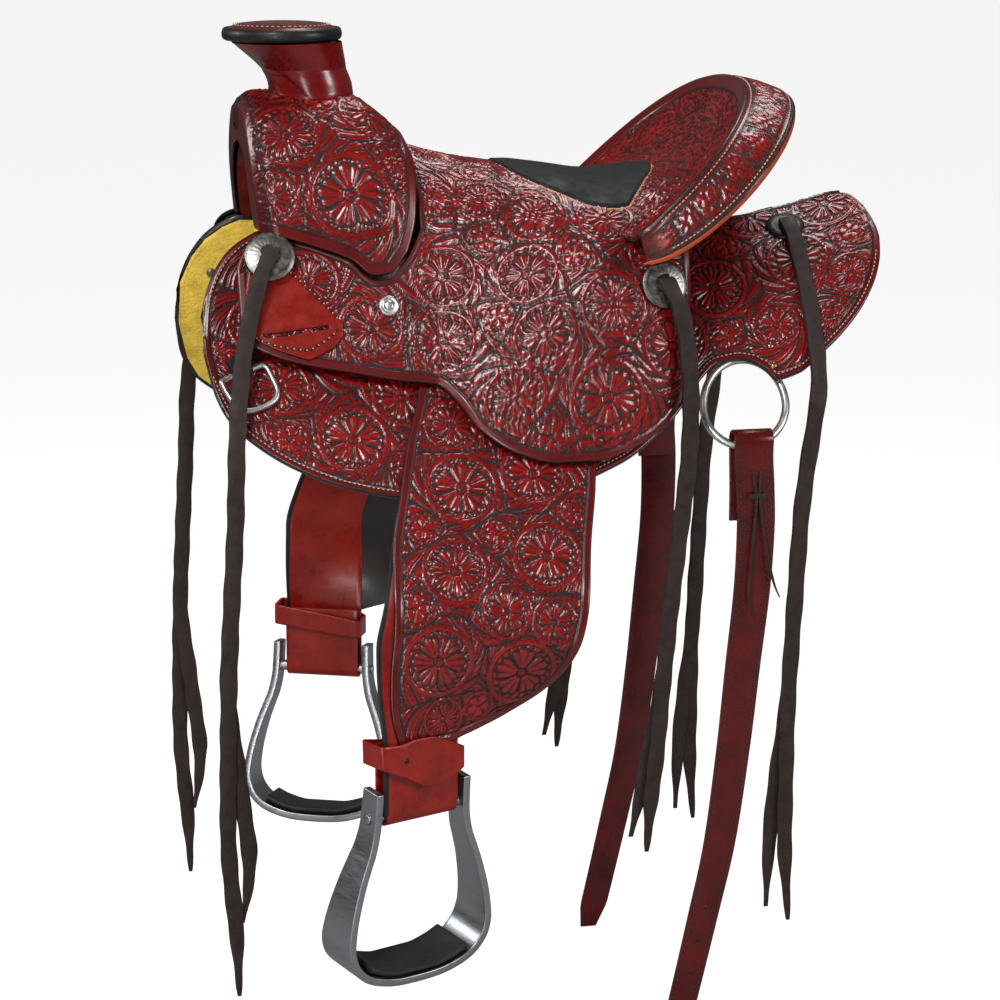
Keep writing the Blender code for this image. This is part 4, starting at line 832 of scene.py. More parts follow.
def fill_centres(C, D, given, seed, rmax=.036, rmin=.012, margin=.006, tries=1400):
    """Flower rings: the given ones, then more wherever there is room, from the largest down."""
    rng = np.random.RandomState(seed)
    out = []
    G = np.array([g[:2] for g in given], float).reshape(-1, 2)
    for k, g in enumerate(given):
        r = g[2] if len(g) > 2 else rmax * 1.12
        if len(G) > 1:
            d = np.linalg.norm(G - G[k], axis=1)
            d[k] = 9
            r = min(r, d.min() * .5)
        out.append([g[0], g[1], r])
    for r in np.linspace(rmax, rmin, 7):
        pick = rng.randint(0, len(C), tries)
        for i in pick:
            if D[i] < margin + r * .80:
                continue
            if all(math.hypot(C[i, 0] - o[0], C[i, 1] - o[1]) > (o[2] + r) * 1.0 for o in out):
                out.append([C[i, 0], C[i, 1], r])
    return [(x, y, r, [5, 6, 5, 7][(k * 7) % 4] if r > .02 else 5, rng.rand() * 6.28, 1 if k % 2 else -1) for k, (x, y, r) in enumerate(out)]


def tooling(C, D, centres, band, amp=.0019, band2=.0):
    """Height and tone of carved flowers in ringed scrolls, with leaves between, inside a plain border; the tone is
    painted shade, darker the lower the carving lies.
    """
    Z = np.array(centres, float)
    dx, dy = C[:, 0, None] - Z[None, :, 0], C[:, 1, None] - Z[None, :, 1]
    r = np.hypot(dx, dy)
    q = r - Z[None, :, 2]
    order = np.argpartition(q, 1, axis=1)[:, :2] if len(Z) > 1 else np.zeros((len(C), 2), int)
    i = np.arange(len(C))
    q0, q1 = q[i, order[:, 0]], q[i, order[:, 1]]
    swap = q1 < q0
    a = np.where(swap, order[:, 1], order[:, 0])
    e = np.abs(q1 - q0) / 2 if len(Z) > 1 else np.full(len(C), .05)
    R, n, ph, sense = Z[a, 2], Z[a, 3], Z[a, 4], Z[a, 5]
    rr, th, qq = r[i, a], np.arctan2(dy[i, a], dx[i, a]), q[i, a]
    rho = rr / R
    # flower: petals in three domed lobes each, round a small ringed centre
    big = smooth(.017, .022, R)
    c = np.cos(n * (th - ph) / 2) ** 2
    outer = .74 * (.80 + .20 * c ** .4) * (1 + .028 * big * np.cos(3 * n * (th - ph)))
    lobe = np.clip(np.abs(np.cos(1.5 * n * (th - ph))) * 1.12, 0, 1) ** .85
    lobe = 1 - big * smooth(.20, .30, rho) * (1 - lobe)
    h = smooth(0, .03, rho - .145) * smooth(0, .02, outer - rho) * dome((outer - rho) / .17) * smooth(0, .14, c) * (.10 + .90 * lobe)
    core = smooth(0, .02, .125 - rho) * (.9 - .6 * np.exp(-((rho - .065) / .020) ** 2))
    h = np.maximum(h, core)
    # curved strokes between the flower and its ring
    m2 = np.maximum(9, np.round(2 * math.pi * R * .8 / .0088))
    b = .5 + .5 * np.cos(m2 * (th - ph) + sense * 19.0 * (rho - .6) / np.maximum(R / .034, .6))
    small = dome(b * 1.1) * smooth(.06, .22, b) * smooth(.005, .045, rho - outer) * smooth(0, .035, .845 - rho) * .82
    h = np.maximum(h, small)
    # the ring: a round stem with a cut line in it
    f = (rho - .925) / .078
    stem = dome((1 - np.abs(f)) * 1.6) * (1 - .62 * np.exp(-((rho - .945) / .012) ** 2))
    h = np.maximum(h, np.where(np.abs(f) < 1, stem * .95, 0))
    # leaves outside the rings, cut into long strokes that turn with the nearest ring
    m = np.maximum(4, np.round(2 * math.pi * R / .0200))
    psi = m * (th - ph) + sense * 1.9 * m * np.log(np.maximum(rho, 1e-3))
    w = .5 + .5 * np.cos(psi)
    cuts = np.abs(np.cos(psi * 1.5))
    leaf = smooth(.02, .20, w) * (.14 + .86 * np.clip(cuts * 1.12, 0, 1) ** .8) * (.70 + .30 * w)
    leaf = leaf * smooth(.0001, .0014, qq) * smooth(.0001, .0012, e)
    h = np.where(qq > 0, leaf, h)
    # plain border
    inside = smooth(band, band + .0016, D)
    h = h * inside
    strip = (1 - smooth(band - .0016, band - .0002, D)) * .82
    if band2:
        strip = strip * (1 - .75 * np.exp(-((D - band2) / .0007) ** 2))
    h = np.maximum(h, strip)
    # painted shade: the tone falls towards black the lower the carving lies, and a dark line is painted along the cut
    # at the border's inner edge
    shade = smooth(.02, .62, h) * (.80 + .20 * h)
    shade = np.where(D < band, .66 + 0 * D, shade)
    shade = shade * (1 - .8 * np.exp(-((D - band - .0002) / .0009) ** 2))
    return amp * h, shade


def relief(name, mat, parts, sides, thick, body, nodes=(), back=None):
    """One mesh from grids: dict(P, N, H, K) with H above the surface P; rims where named in 'rim'."""
    verts, faces, K, E = [], [], [], []
    count = 0

    def put(points, k, e, side):
        nonlocal count
        p = points.reshape(-1, 3).copy()
        if side < 0:
            p[:, 1] *= -1
        verts.append(p)
        K.append(np.broadcast_to(np.asarray(k, float).ravel(), (len(p),)) if np.ndim(k) else np.full(len(p), float(k)))
        E.append(np.broadcast_to(np.asarray(e, float).ravel(), (len(p),)) if np.ndim(e) else np.full(len(p), float(e)))
        start = count
        count += len(p)
        return start

    def quads(start, I, J, flip):
        i, j = np.meshgrid(np.arange(I - 1), np.arange(J - 1), indexing="ij")
        a = (start + i * J + j).ravel()
        q = np.stack([a, a + J, a + J + 1, a + 1], -1)
        faces.append(q[:, ::-1] if flip else q)

    for side in sides:
        for g in parts:
            P, N = g["P"], g["N"]
            I, J = P.shape[:2]
            top = P + N * g["H"].reshape(I, J, 1)
            mid = (I // 2, J // 2)
            geo = np.cross(P[min(mid[0] + 1, I - 1), mid[1]] - P[mid], P[mid[0], min(mid[1] + 1, J - 1)] - P[mid])
            flip = (geo @ N[mid] < 0) != (side < 0)
            s = put(top, g["K"], g.get("E", 0.0), side)
            quads(s, I, J, flip)
            if thick:
                under = P - N * thick
                ci = np.unique(np.round(np.linspace(0, I - 1, max(3, I // 5))).astype(int))
                cj = np.unique(np.round(np.linspace(0, J - 1, max(3, J // 5))).astype(int))
                s2 = put(under[np.ix_(ci, cj)], .3, 1.0, side)
                quads(s2, len(ci), len(cj), not flip)
                for edge in g.get("rim", ("u0", "u1", "v0", "v1")):
                    sl = {"u0": (0, slice(None)), "u1": (-1, slice(None)), "v0": (slice(None), 0), "v1": (slice(None), -1)}[edge]
                    a, bq = top[sl], under[sl]
                    strip = np.stack([a, a * .5 + bq * .5, bq], 0)
                    s3 = put(strip, .3, 1.0, side)
                    quads(s3, 3, len(a), flip if edge in ("u1", "v0") else not flip)
    V = np.vstack(verts)
    F = np.vstack(faces)
    mesh = bpy.data.meshes.new(name)
    mesh.from_pydata(V.tolist(), [], F.tolist())
    for key, arr in (("tone_with_painted_shade", K), ("edge", E)):
        at = mesh.attributes.new(key, "FLOAT", "POINT")
        at.data.foreach_set("value", np.concatenate(arr).astype(np.float32))
    mesh.materials.append(mat)
    ob = bpy.data.objects.new(name, mesh)
    COLL.objects.link(ob)
    bm = bmesh.new()
    bm.from_mesh(mesh)
    bmesh.ops.remove_doubles(bm, verts=bm.verts, dist=6e-5)
    bm.to_mesh(mesh)
    bm.free()
    mesh.shade_smooth()
    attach(ob, body)
    if nodes:
        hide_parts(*nodes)
    return ob


def finish_piece(ob, body, nodes=(), bevel=0, angle=40):
    if bevel:
        b = ob.modifiers.new("Bevel", "BEVEL")
        b.width, b.segments, b.limit_method, b.angle_limit = bevel, 2, "ANGLE", math.radians(35)
    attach(ob, body)
    if nodes:
        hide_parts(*nodes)
    return ob


def stitches(name, lines, body, length=.0031, gap=.0017, radius=.00048, mat=None, rise=.0002):
    """Short raised threads laid along lines; each line is (points, normals)."""
    V, F = [], []
    for pts, nrm in lines:
        pts, nrm = np.asarray(pts, float), np.asarray(nrm, float)
        run = np.concatenate([[0], np.cumsum(np.linalg.norm(np.diff(pts, axis=0), axis=1))])
        n = int(run[-1] / (length + gap))
        for k in range(n):
            s = (k + .5) * (length + gap)
            c = np.array([np.interp(s, run, pts[:, j]) for j in range(3)])
            c2 = np.array([np.interp(min(s + .001, run[-1]), run, pts[:, j]) for j in range(3)])
            d = c2 - np.array([np.interp(max(s - .001, 0), run, pts[:, j]) for j in range(3)])
            d = d / (np.linalg.norm(d) + 1e-12)
            nn = np.array([np.interp(s, run, nrm[:, j]) for j in range(3)])
            nn = nn / (np.linalg.norm(nn) + 1e-12)
            w = np.cross(nn, d)
            base = len(V)
            c = c + nn * rise
            V.append(c - d * length / 2 - nn * radius * .6)
            for f, g in ((-.33, .85), (0, 1.0), (.33, .85)):
                for a in range(6):
                    q = a * math.pi / 3
                    V.append(c + d * length * f + radius * g * (w * math.cos(q) * 1.25 + nn * math.sin(q)))
            V.append(c + d * length / 2 - nn * radius * .6)
            for a in range(6):
                b2 = (a + 1) % 6
                F.append((base, base + 1 + b2, base + 1 + a))
                for ring in (0, 6):
                    F.append((base + 1 + ring + a, base + 1 + ring + b2, base + 7 + ring + b2, base + 7 + ring + a))
                F.append((base + 13 + a, base + 13 + b2, base + 19))
    mesh = bpy.data.meshes.new(name)
    mesh.from_pydata([tuple(v) for v in V], [], F)
    mesh.materials.append(mat or CREAM)
    mesh.shade_smooth()
    ob = bpy.data.objects.new(name, mesh)
    COLL.objects.link(ob)
    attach(ob, body)
    return ob


def surface_line(fn, a, b, side, lift=0.0, out=(0, .8, .6)):
    """Points and normals on the surface fn along the parameters a, b, mirrored to the side."""
    a, b = np.asarray(a, float) + 0 * np.asarray(b, float), np.asarray(b, float) + 0 * np.asarray(a, float)
    e = 1e-4
    p = fn(a, b)
    n = np.cross(fn(a + e, b) - fn(a - e, b), fn(a, b + e) - fn(a, b - e))
    n = n / (np.linalg.norm(n, axis=-1)[:, None] + 1e-15)
    if (n @ np.array(out)).mean() < 0:
        n = -n
    p = p + n * lift
    m = np.array([1, 1 if side > 0 else -1, 1])
    return p * m, n * m
# ---------------------------------------------------------------- looks: the skirts

BOTH = (-1, 1)
WORD = {-1: "near", 1: "off"}
STEP = .0014


def stations(*spans):
    """Parameter values with the wanted step in metres along each (from, to, metres) span."""
    out = [spans[0][0]]
    for a, b, metres in spans:
        n = max(2, int(round(metres / STEP)))
        out += list(np.linspace(a, b, n + 1)[1:])
    return np.array(out)


def rounded(D, radius=.0016, depth=.0012):
    """How far a cut edge is rounded down, D from it."""
    s = np.clip(D / radius, 0, 1)
    return -depth * (1 - np.sqrt(np.clip(1 - (1 - s) ** 2, 0, 1)))


def outline_of(P, edges):
    """Polyline pieces of a grid's named edges."""
    sel = {"u0": (0, slice(None)), "u1": (-1, slice(None)), "v0": (slice(None), 0), "v1": (slice(None), -1)}
    return [P[sel[e]] for e in edges]


def edge_distance(P, lines):
    """Distance of each grid point from the nearest of several polylines."""
    Q = P.reshape(-1, 3)
    D = np.full(len(Q), 9.0)
    for line in lines:
        L = line[::max(1, len(line) // 90)]
        if len(line) and not np.allclose(L[-1], line[-1]):
            L = np.vstack([L, line[-1:]])
        if len(L) > 1 and np.linalg.norm(np.diff(L, axis=0), axis=1).sum() > 1e-3:
            D = np.minimum(D, dist_to(Q, L)[0])
    return D


us = stations((-.3265, -.30, .030), (-.30, .389, .689))
vs = stations((0, 1, .235))
skirt_fn = between(SKIRT_TOP, SKIRT_LOW, SKIRT_THICK)
P = grid_of(skirt_fn, us, vs)
U, W = np.meshgrid(us, vs, indexing="ij")
T = curve(SKIRT_TOP, U) + (curve(SKIRT_LOW, U) - curve(SKIRT_TOP, U)) * W
C = np.stack([U.ravel(), T.ravel()], -1)
D = edge_distance(P, outline_of(P, ("u0", "u1", "v1")) + [P[:60, 0]])
given = [(-.188, .248, .037), (.206, .099, .036), (.264, .154, .026), (.328, .162, .020), (.300, .085, .034), (-.255, .190, .032), (-.085, .262, .034), (-.272, .125, .030)]
centres = fill_centres(C, D, given, 3, .036, .0165, .008, 2600)
H, Kk = tooling(C, D, centres, .0082, .0019)
H = (H * smooth(.0, .0045, edge_distance(P, [P[:, 0]]))) + rounded(D)
E = smooth(.0016, .0002, D)
for s in BOTH:
    relief("skirt_look_" + WORD[s], TOOLED, [dict(P=P, N=normals_of(P), H=H, K=Kk, E=E)], [s], SKIRT_THICK - .0004, "saddle", ["skirt_" + WORD[s]])
    x = np.concatenate([np.linspace(-.3265 + .0062, .389 - .0062, 900)])
    low = curve(SKIRT_LOW, x) - .0056
    # the thread follows the edge at a steady distance
    dl = np.gradient(curve(SKIRT_LOW, x), x)
    low = curve(SKIRT_LOW, x) - .0056 * np.sqrt(1 + np.clip(dl, -2.5, 2.5) ** 2)
    ok = low > curve(SKIRT_TOP, x) + .006
    f = lambda a, b: skirt_at(a, b, SKIRT_THICK)
    line1 = surface_line(f, x[ok], low[ok], s, .0017)
    lines = [line1]
    xr = x[(x > .355)]
    top = curve(SKIRT_TOP, xr) + .0062 * np.sqrt(1 + np.clip(np.gradient(curve(SKIRT_TOP, xr), xr), -2.5, 2.5) ** 2)
    okr = top < curve(SKIRT_LOW, xr) - .008
    if okr.sum() > 3:
        lines.append(surface_line(f, xr[okr], top[okr], s, .0017))
    xf = x[(x < -.262)]
    topf = curve(SKIRT_TOP, xf) + .0056 * np.sqrt(1 + np.clip(np.gradient(curve(SKIRT_TOP, xf), xf), -2.5, 2.5) ** 2)
    okf = topf < curve(SKIRT_LOW, xf) - .008
    if okf.sum() > 3:
        lines.append(surface_line(f, xf[okf], topf[okf], s, .0017))
    stitches("skirt_thread_" + WORD[s], lines, "saddle")

# ---------------------------------------------------------------- looks: seat and jockeys


def along(fn, us, vs):
    """Arc length across the saddle at each point of a grid whose rows start on the middle line or carry one."""
    Pq = grid_of(fn, us, vs)
    step = np.linalg.norm(np.diff(Pq, axis=1), axis=-1)
    return Pq, np.concatenate([np.zeros((len(us), 1)), np.cumsum(step, axis=1)], axis=1)


XS, VSS = np.linspace(-.30, .16, 60), np.linspace(0, 1, 80)
_, ARC = along(seat_section, XS, VSS)


def seat_arc(x, v):
    """Arc length from the middle line on the seat, for x and v."""
    fx = np.clip((x - XS[0]) / (XS[1] - XS[0]), 0, len(XS) - 1.001)
    fv = np.clip(v / (VSS[1] - VSS[0]), 0, len(VSS) - 1.001)
    i, j = fx.astype(int), fv.astype(int)
    a, b = fx - i, fv - j
    return (ARC[i, j] * (1 - a) * (1 - b) + ARC[i + 1, j] * a * (1 - b) + ARC[i, j + 1] * (1 - a) * b + ARC[i + 1, j + 1] * a * b)


def seat_normals(x, v):
    e = 1e-3
    n = np.cross(seat_section(x + e, v) - seat_section(x - e, v), seat_section(x, v + e) - seat_section(x, np.clip(v - e, 0, None)))
    n = n / (np.linalg.norm(n, axis=-1)[:, None] + 1e-12)
    n = n * np.sign((n[:, 1] * .6 + n[:, 2]))[:, None]
    n[:, 1] = np.where(v < 1e-6, 0, n[:, 1])
    return n


seat_parts = []


def seat_part(us, vs, to_xv, rim):
    U, Vv = np.meshgrid(us, vs, indexing="ij")
    x, v = to_xv(U.ravel(), Vv.ravel())
    Pq = seat_section(x, v).reshape(len(us), len(vs), 3)
    Nq = seat_normals(x, v).reshape(Pq.shape)
    Cq = np.stack([x, seat_arc(x, v)], -1)
    seat_parts.append(dict(P=Pq, N=Nq, C=Cq, rim=rim, x=x, v=v))


VM = stations((0, .50, .130), (.50, .62, .032), (.62, 1, .145))
VF, VR, VD = VM[VM >= .62 - 1e-9], VM[VM >= .50 - 1e-9], VM[VM <= .50 + 1e-9]
seat_part(stations((-.291, -.104, .195)), (VF - .62) / .38, lambda x, s: (x, curve(NOTCH, x) + (1 - curve(NOTCH, x)) * s), ("u0", "v0", "v1"))
VT = VM[VM <= .62 + 1e-9]
seat_part(stations((0, 1, .185)), VT, lambda u, v: (curve(SEAT_FRONT, v) + (DISH_FROM - curve(SEAT_FRONT, v)) * u, v), ("u0",))
seat_part(stations((0, 1, .185)), VF, lambda u, v: (curve(SEAT_FRONT, v) + (DISH_FROM - curve(SEAT_FRONT, v)) * u, v), ("v1",))
seat_part(stations((DISH_FROM, .157, .080)), (VR - .50) / .50, lambda x, s: (x, .50 + (x - DISH_FROM) * .9 + (1 - .50 - (x - DISH_FROM) * .9) * s), ("u1", "v0", "v1"))
# the dish
du_, dv_ = stations((0, 1, .200)), VD / .50
Pd, Sd = along(dish, du_, dv_)
Ud = np.concatenate([np.zeros((1, len(dv_))), np.cumsum(np.linalg.norm(np.diff(Pd, axis=0), axis=-1), axis=0)], axis=0)
Nd = normals_of(Pd, (-.5, .1, 1))
seat_parts.append(dict(P=Pd, N=Nd, C=np.stack([DISH_FROM + Ud.ravel(), Sd.ravel()], -1), rim=("u1", "v1"), dish=True))

low = grid_of(seat_section, np.linspace(-.291, .157, 160), [1.0])[:, 0] if False else seat_section(np.linspace(-.291, .157, 160), np.ones(160))
notch_x = np.linspace(-.291, -.104, 80)
notch = seat_section(notch_x, curve(NOTCH, notch_x))
fv = np.linspace(0, .62, 40)
front = seat_section(curve(SEAT_FRONT, fv), fv)
nose = seat_section(np.full(12, -.291), np.linspace(.825, 1, 12))
tail = seat_section(np.full(12, .157), np.linspace(.57, 1, 12))
rim_lines = [low, notch, front, nose, tail, Pd[-1]]
seat_given = [(-.087, .749, .036), (-.092, .906, .034), (-.007, .670, .036), (.006, .475, .036), (.075, .433, .030), (.073, .716, .034), (.005, .797, .034), (-.027, .918, .040),
              (.064, .904, .040), (-.090, .494, .034), (-.042, .440, .030)]
gx, gv = np.array([g[0] for g in seat_given]), np.array([g[1] for g in seat_given])
ga = seat_arc(gx, gv)
given = [(x, a, g[2]) for x, a, g in zip(gx, ga, seat_given)]
given += [(DISH_FROM + a, b, r) for a, b, r in ((.060, .040, .034), (.062, .112, .032), (.130, .036, .032), (.128, .104, .032))]
allC = np.vstack([p["C"] for p in seat_parts])
for p in seat_parts:
    Dp = edge_distance(p["P"], rim_lines)
    p["Dn"] = edge_distance(p["P"], [notch, front])
    p["D"] = Dp
allD = np.concatenate([p["D"] for p in seat_parts])
centres = fill_centres(allC, allD, given, 11, .034, .0165, .006, 3000)
for p in seat_parts:
    H, Kk = tooling(p["C"], np.where(p["Dn"] <= p["D"] + 1e-9, p["D"] + .0045, p["D"] - (.0050 if p.get("dish") else 0)), centres, .0098)
    p["H"], p["K"] = H + rounded(p["D"], .0014, .0010), Kk
    p["E"] = smooth(.0014, .0002, p["D"])
for s in BOTH:
    relief("seat_leather_look_" + WORD[s], TOOLED, seat_parts, [s], SEAT_THICK - .0004, "saddle", ["seat_leather"])

# ---------------------------------------------------------------- looks: swell cover

us = stations((-.82, 0, .040), (0, 1, .150))
vs = stations((0, 1, .235))
P = grid_of(swell_cover, us, vs)
N = normals_of(P, (0, .5, .9))
S = np.concatenate([np.zeros((len(us), 1)), np.cumsum(np.linalg.norm(np.diff(P, axis=1), axis=-1), axis=1)], axis=1)
U, W = np.meshgrid(us, vs, indexing="ij")
X = np.where(U < 0, P[..., 0] - .04 * (-U), P[..., 0])
C = np.stack([X.ravel(), S.ravel()], -1)


def swell_chart(w, a):
    i = np.abs(us - w).argmin()
    end = float(curve(SWELL_END, w))
    j = np.abs(vs - min(1, a / end)).argmin()
    return X[i, j], S[i, j]


D = edge_distance(P, [P[:, -1], P[-1]])
given = [(*swell_chart(.579, .715), .046), (*swell_chart(.223, .420), .036)]
front_roll = smooth(.0, .06, U.ravel())
centres = fill_centres(C, np.minimum(D, np.where(U.ravel() < .06, .0, 9)), given, 5, .030, .0165, .006)
H, Kk = tooling(C, D, centres, .0118)
H = H * front_roll
Kk = np.where(U.ravel() < .05, .60, Kk)
# a groove is sunk along the front lip and its tone darkened with it: painted shade in the groove
groove = np.exp(-((U.ravel() - .055) / .008) ** 2)
H, Kk = H - .0007 * groove, Kk * (1 - .8 * groove)
relief("swell_cover_look", TOOLED, [dict(P=P, N=N, H=H + rounded(D, .0016, .0012), K=Kk, E=smooth(.0014, .0002, D), rim=("u0", "u1", "v1"))], BOTH, .0026, "saddle", ["swell_cover"])

# ---------------------------------------------------------------- looks: cantle roll

ps = np.linspace(0, 1, 300)
qs = np.linspace(0, 1, 44)


def roll_surface(b, q):
    A, B = crest(b), roll_edge(b)
    Tt = crest(b + .01) - crest(np.maximum(b - .01, 0))
    Tt = np.where((b < 1e-6)[:, None], np.array([0, 1.0, 0]), Tt)
    ac = (B - A) / np.linalg.norm(B - A, axis=1)[:, None]
    n = np.cross(ac, Tt)
    n = n / np.linalg.norm(n, axis=1)[:, None]
    n = n * np.sign(n[:, 2])[:, None]
    thin = (1 - .45 * np.maximum(0, (b - .8) / .2))[:, None]
    a0 = A + ac * .0042 + n * .0004
    m0 = (A + B) / 2 + n * .0025 * thin
    pts = [a0 - n * .004, a0, m0, B - ac * .004 + n * .0005, B - n * .003 * thin, B - n * .009 * thin, B - ac * .006 - n * .012 * thin, m0 - n * .0135 * thin]
    lens = np.array([-.10, 0, .30, .58, .68, .78, .86, 1.0])
    # smooth curve through the section's points
    out = np.zeros((len(b), 3))
    s = lens[0] + q * (lens[-1] - lens[0])
    for k in range(len(lens) - 1):
        mk = (s >= lens[k] - 1e-12) & (s <= lens[k + 1] + 1e-12)
        f = ((s - lens[k]) / (lens[k + 1] - lens[k]))[:, None]
        g0, g1 = pts[max(k - 1, 0)], pts[min(k + 2, len(pts) - 1)]
        p0, p1 = pts[k], pts[k + 1]
        c = .5 * (2 * p0 + (p1 - g0) * f + (2 * g0 - 5 * p0 + 4 * p1 - g1) * f ** 2 + (3 * p0 - g0 - 3 * p1 + g1) * f ** 3)
        out = np.where(mk[:, None], c, out)
    return out


b_stations = (1 - np.cos(np.linspace(0, 1, 260) * math.pi / 2)) * .35 + np.linspace(0, 1, 260) * .65
P = grid_of(roll_surface, b_stations, qs)
N = normals_of(P, (.2, .2, 1))
i0 = 130
if N[i0, 15, 2] < 0:
    N = -N
la = np.concatenate([[0], np.cumsum(np.linalg.norm(np.diff(P[:, 14], axis=0), axis=-1))])
lq = np.concatenate([np.zeros((len(b_stations), 1)), np.cumsum(np.linalg.norm(np.diff(P, axis=1), axis=-1), axis=1)], axis=1)
C = np.stack([np.repeat(la[:, None], len(qs), 1).ravel() + 2.0, lq.ravel()], -1)
Qv = np.repeat(qs[None], len(b_stations), 0).ravel()
qt = (Qv * 1.10 - .10)
D = edge_distance(P, [P[:, 4], P[:, int(np.abs(qs * 1.1 - .1 - .58).argmin())], P[-1]])
D = np.where((qt > .0) & (qt < .58), D, 0)
centres = fill_centres(C, D, [], 21, .014, .008, .003, 1600)
H, Kk = tooling(C, np.maximum(D, 0), centres, .0052, .0014)
H = np.where(D <= 0, .0009, H)
# painted shade: from just inside the roll's outer edge round onto its underside the tone is near black
Kk = np.where(qt >= .575, .05, Kk)
inner_band = (qt < .04)
Kk = np.where(inner_band, .72, Kk)
taper = np.repeat(smooth(1, .94, b_stations)[:, None], len(qs), 1).ravel()
relief("cantle_roll_look", TOOLED, [dict(P=P, N=N, H=H * taper, K=np.clip(Kk, 0, 1), E=0.0, rim=())], BOTH, 0, "saddle", ["cantle_roll"])
rim_q = float((.605 + .10) / 1.10)
cut_q = np.linspace((.612 + .1) / 1.1, (.83 + .1) / 1.1, 10)
P2 = grid_of(roll_surface, b_stations, cut_q)
N2 = normals_of(P2, (1, 1, 0))
if (N2[20, 3] @ (roll_edge(np.array([.1]))[0] - crest(np.array([.1]))[0])) < 0:
    N2 = -N2
relief("roll_edging", EDGING, [dict(P=P2, N=N2, H=np.full(P2.shape[0] * P2.shape[1], .0011) * np.repeat(smooth(1, .97, b_stations)[:, None], 10, 1).ravel(), K=1.0, E=0.0, rim=())], BOTH, 0, "saddle")
for s in BOTH:
    bq = np.linspace(.002, .975, 900)
    stitches("roll_thread_" + WORD[s], [surface_line(roll_surface, bq, np.full(900, (.545 + .1) / 1.1), s, .0011, (.3, .2, 1)),
                                        surface_line(roll_surface, bq, np.full(900, (.045 + .1) / 1.1), s, .0011, (.3, .2, 1))], "saddle", radius=.00052)
# ---------------------------------------------------------------- looks: fenders and stirrup leathers

us = stations((0, 1, .200))
vs = stations((.175, .562, .387))
P = grid_of(fender, us, vs)
U, W = np.meshgrid(us, vs, indexing="ij")
Xf = curve([(q, x) for q, x in FENDER_FRONT], W) + (curve([(q, x) for q, x in FENDER_REAR], W) - curve([(q, x) for q, x in FENDER_FRONT], W)) * U
C = np.stack([Xf.ravel(), W.ravel()], -1)
D = edge_distance(P, outline_of(P, ("u0", "u1", "v1")))
given = [(-.087, .307, .038), (-.104, .393, .034), (-.011, .382, .036), (-.126, .476, .036), (-.041, .494, .036), (-.020, .225, .036)]
centres = fill_centres(C, D, given, 8, .034, .0165, .008, 2600)
H, Kk = tooling(C, D, centres, .0090, .0019)
H = H + rounded(D)
for s in BOTH:
    w = WORD[s]
    body = w + "_fender_assembly"
    relief("fender_look_" + w, TOOLED, [dict(P=P, N=normals_of(P), H=H, K=Kk, E=smooth(.0015, .0002, D))], [s], .0030, body, ["fender_" + w])

t_end = .46 + (-.361 - BOLT_Z)


def leather_surface(s, q, r=.0094):
    x = curve(LEATHER_X, np.minimum(q, t_end)) + (s - .5) * LEATHER_WIDE
    outer = drape(x, np.minimum(q, t_end), .0081, hang=True)
    z0 = drape(x, t_end + 0 * q, .0081, hang=True)[..., 2]
    g = np.clip((q - t_end) / .03 * math.pi, 0, math.pi)
    up = np.clip(q - t_end - .03, 0, None)
    loop = np.stack([x, BOLT[1] + r * np.cos(g), z0 - r * np.sin(g) + up], -1)
    return twist(np.where((q > t_end)[..., None], loop, outer))


for s in BOTH:
    w = WORD[s]
    body = w + "_fender_assembly"
    q = np.concatenate([np.linspace(.147, t_end, 90), t_end + np.linspace(0, .03, 14)[1:], t_end + .03 + np.linspace(0, .07, 12)[1:]])
    sheet("leather_look_" + w, PLAIN, [(leather_surface, np.linspace(0, 1, 15), q)], .0032, s, centred=True)
    ob = bpy.data.objects["leather_look_" + w]
    finish_piece(ob, body, ["stirrup_leather_" + w], .0007)
    # dark burnished edge along the leather's front side
    edge = strap("leather_edge_" + w, BLACK, [Vector(p) for p in leather_surface(np.full(60, -.012), np.linspace(.33, t_end - .002, 60))], .0040, .0046, across=(0, 1, 0), side=s)
    finish_piece(edge, body, (), .0006)

# hobble strap, wrapped round the leathers, with its overlap, and a thin black disc on it for its hole: painted shade in
# the hole
y0, y1, left, right, r = PLUMB_Y - .0165, PLUMB_Y + .0175, -.0520, .0460, .0045
ring = []
for cx, cy, g0 in ((right - r, y1 - r, 0), (left + r, y1 - r, 90), (left + r, y0 + r, 180), (right - r, y0 + r, 270)):
    for k in range(9):
        g = RAD(g0 + 11.25 * k)
        ring.append((cx + r * math.cos(g), cy + r * math.sin(g)))
    if g0 == 0:
        ring += [(a, y1) for a in np.linspace(right - r, left + r, 32)[1:-1]]
    if g0 == 180:
        ring += [(a, y0) for a in np.linspace(left + r, right - r, 12)[1:-1]]
ring.append(ring[0])


def hobble_surface(u, v):
    a, y = np.array(ring)[np.clip(np.round(u).astype(int), 0, len(ring) - 1)].T
    f = np.clip((y - y0) / (y1 - y0), 0, 1) ** 3
    top = -.450 - .016 * (a - left) / (right - left)
    low_ = -.473 - .013 * (a - left) / (right - left)
    top = top + (curve(HOBBLE_TOP, a) - top) * f
    low_ = low_ + (curve(HOBBLE_LOW, a) - low_) * f
    return twist(np.stack([TWIST_AT[0] + a, y, top + (low_ - top) * v], -1))


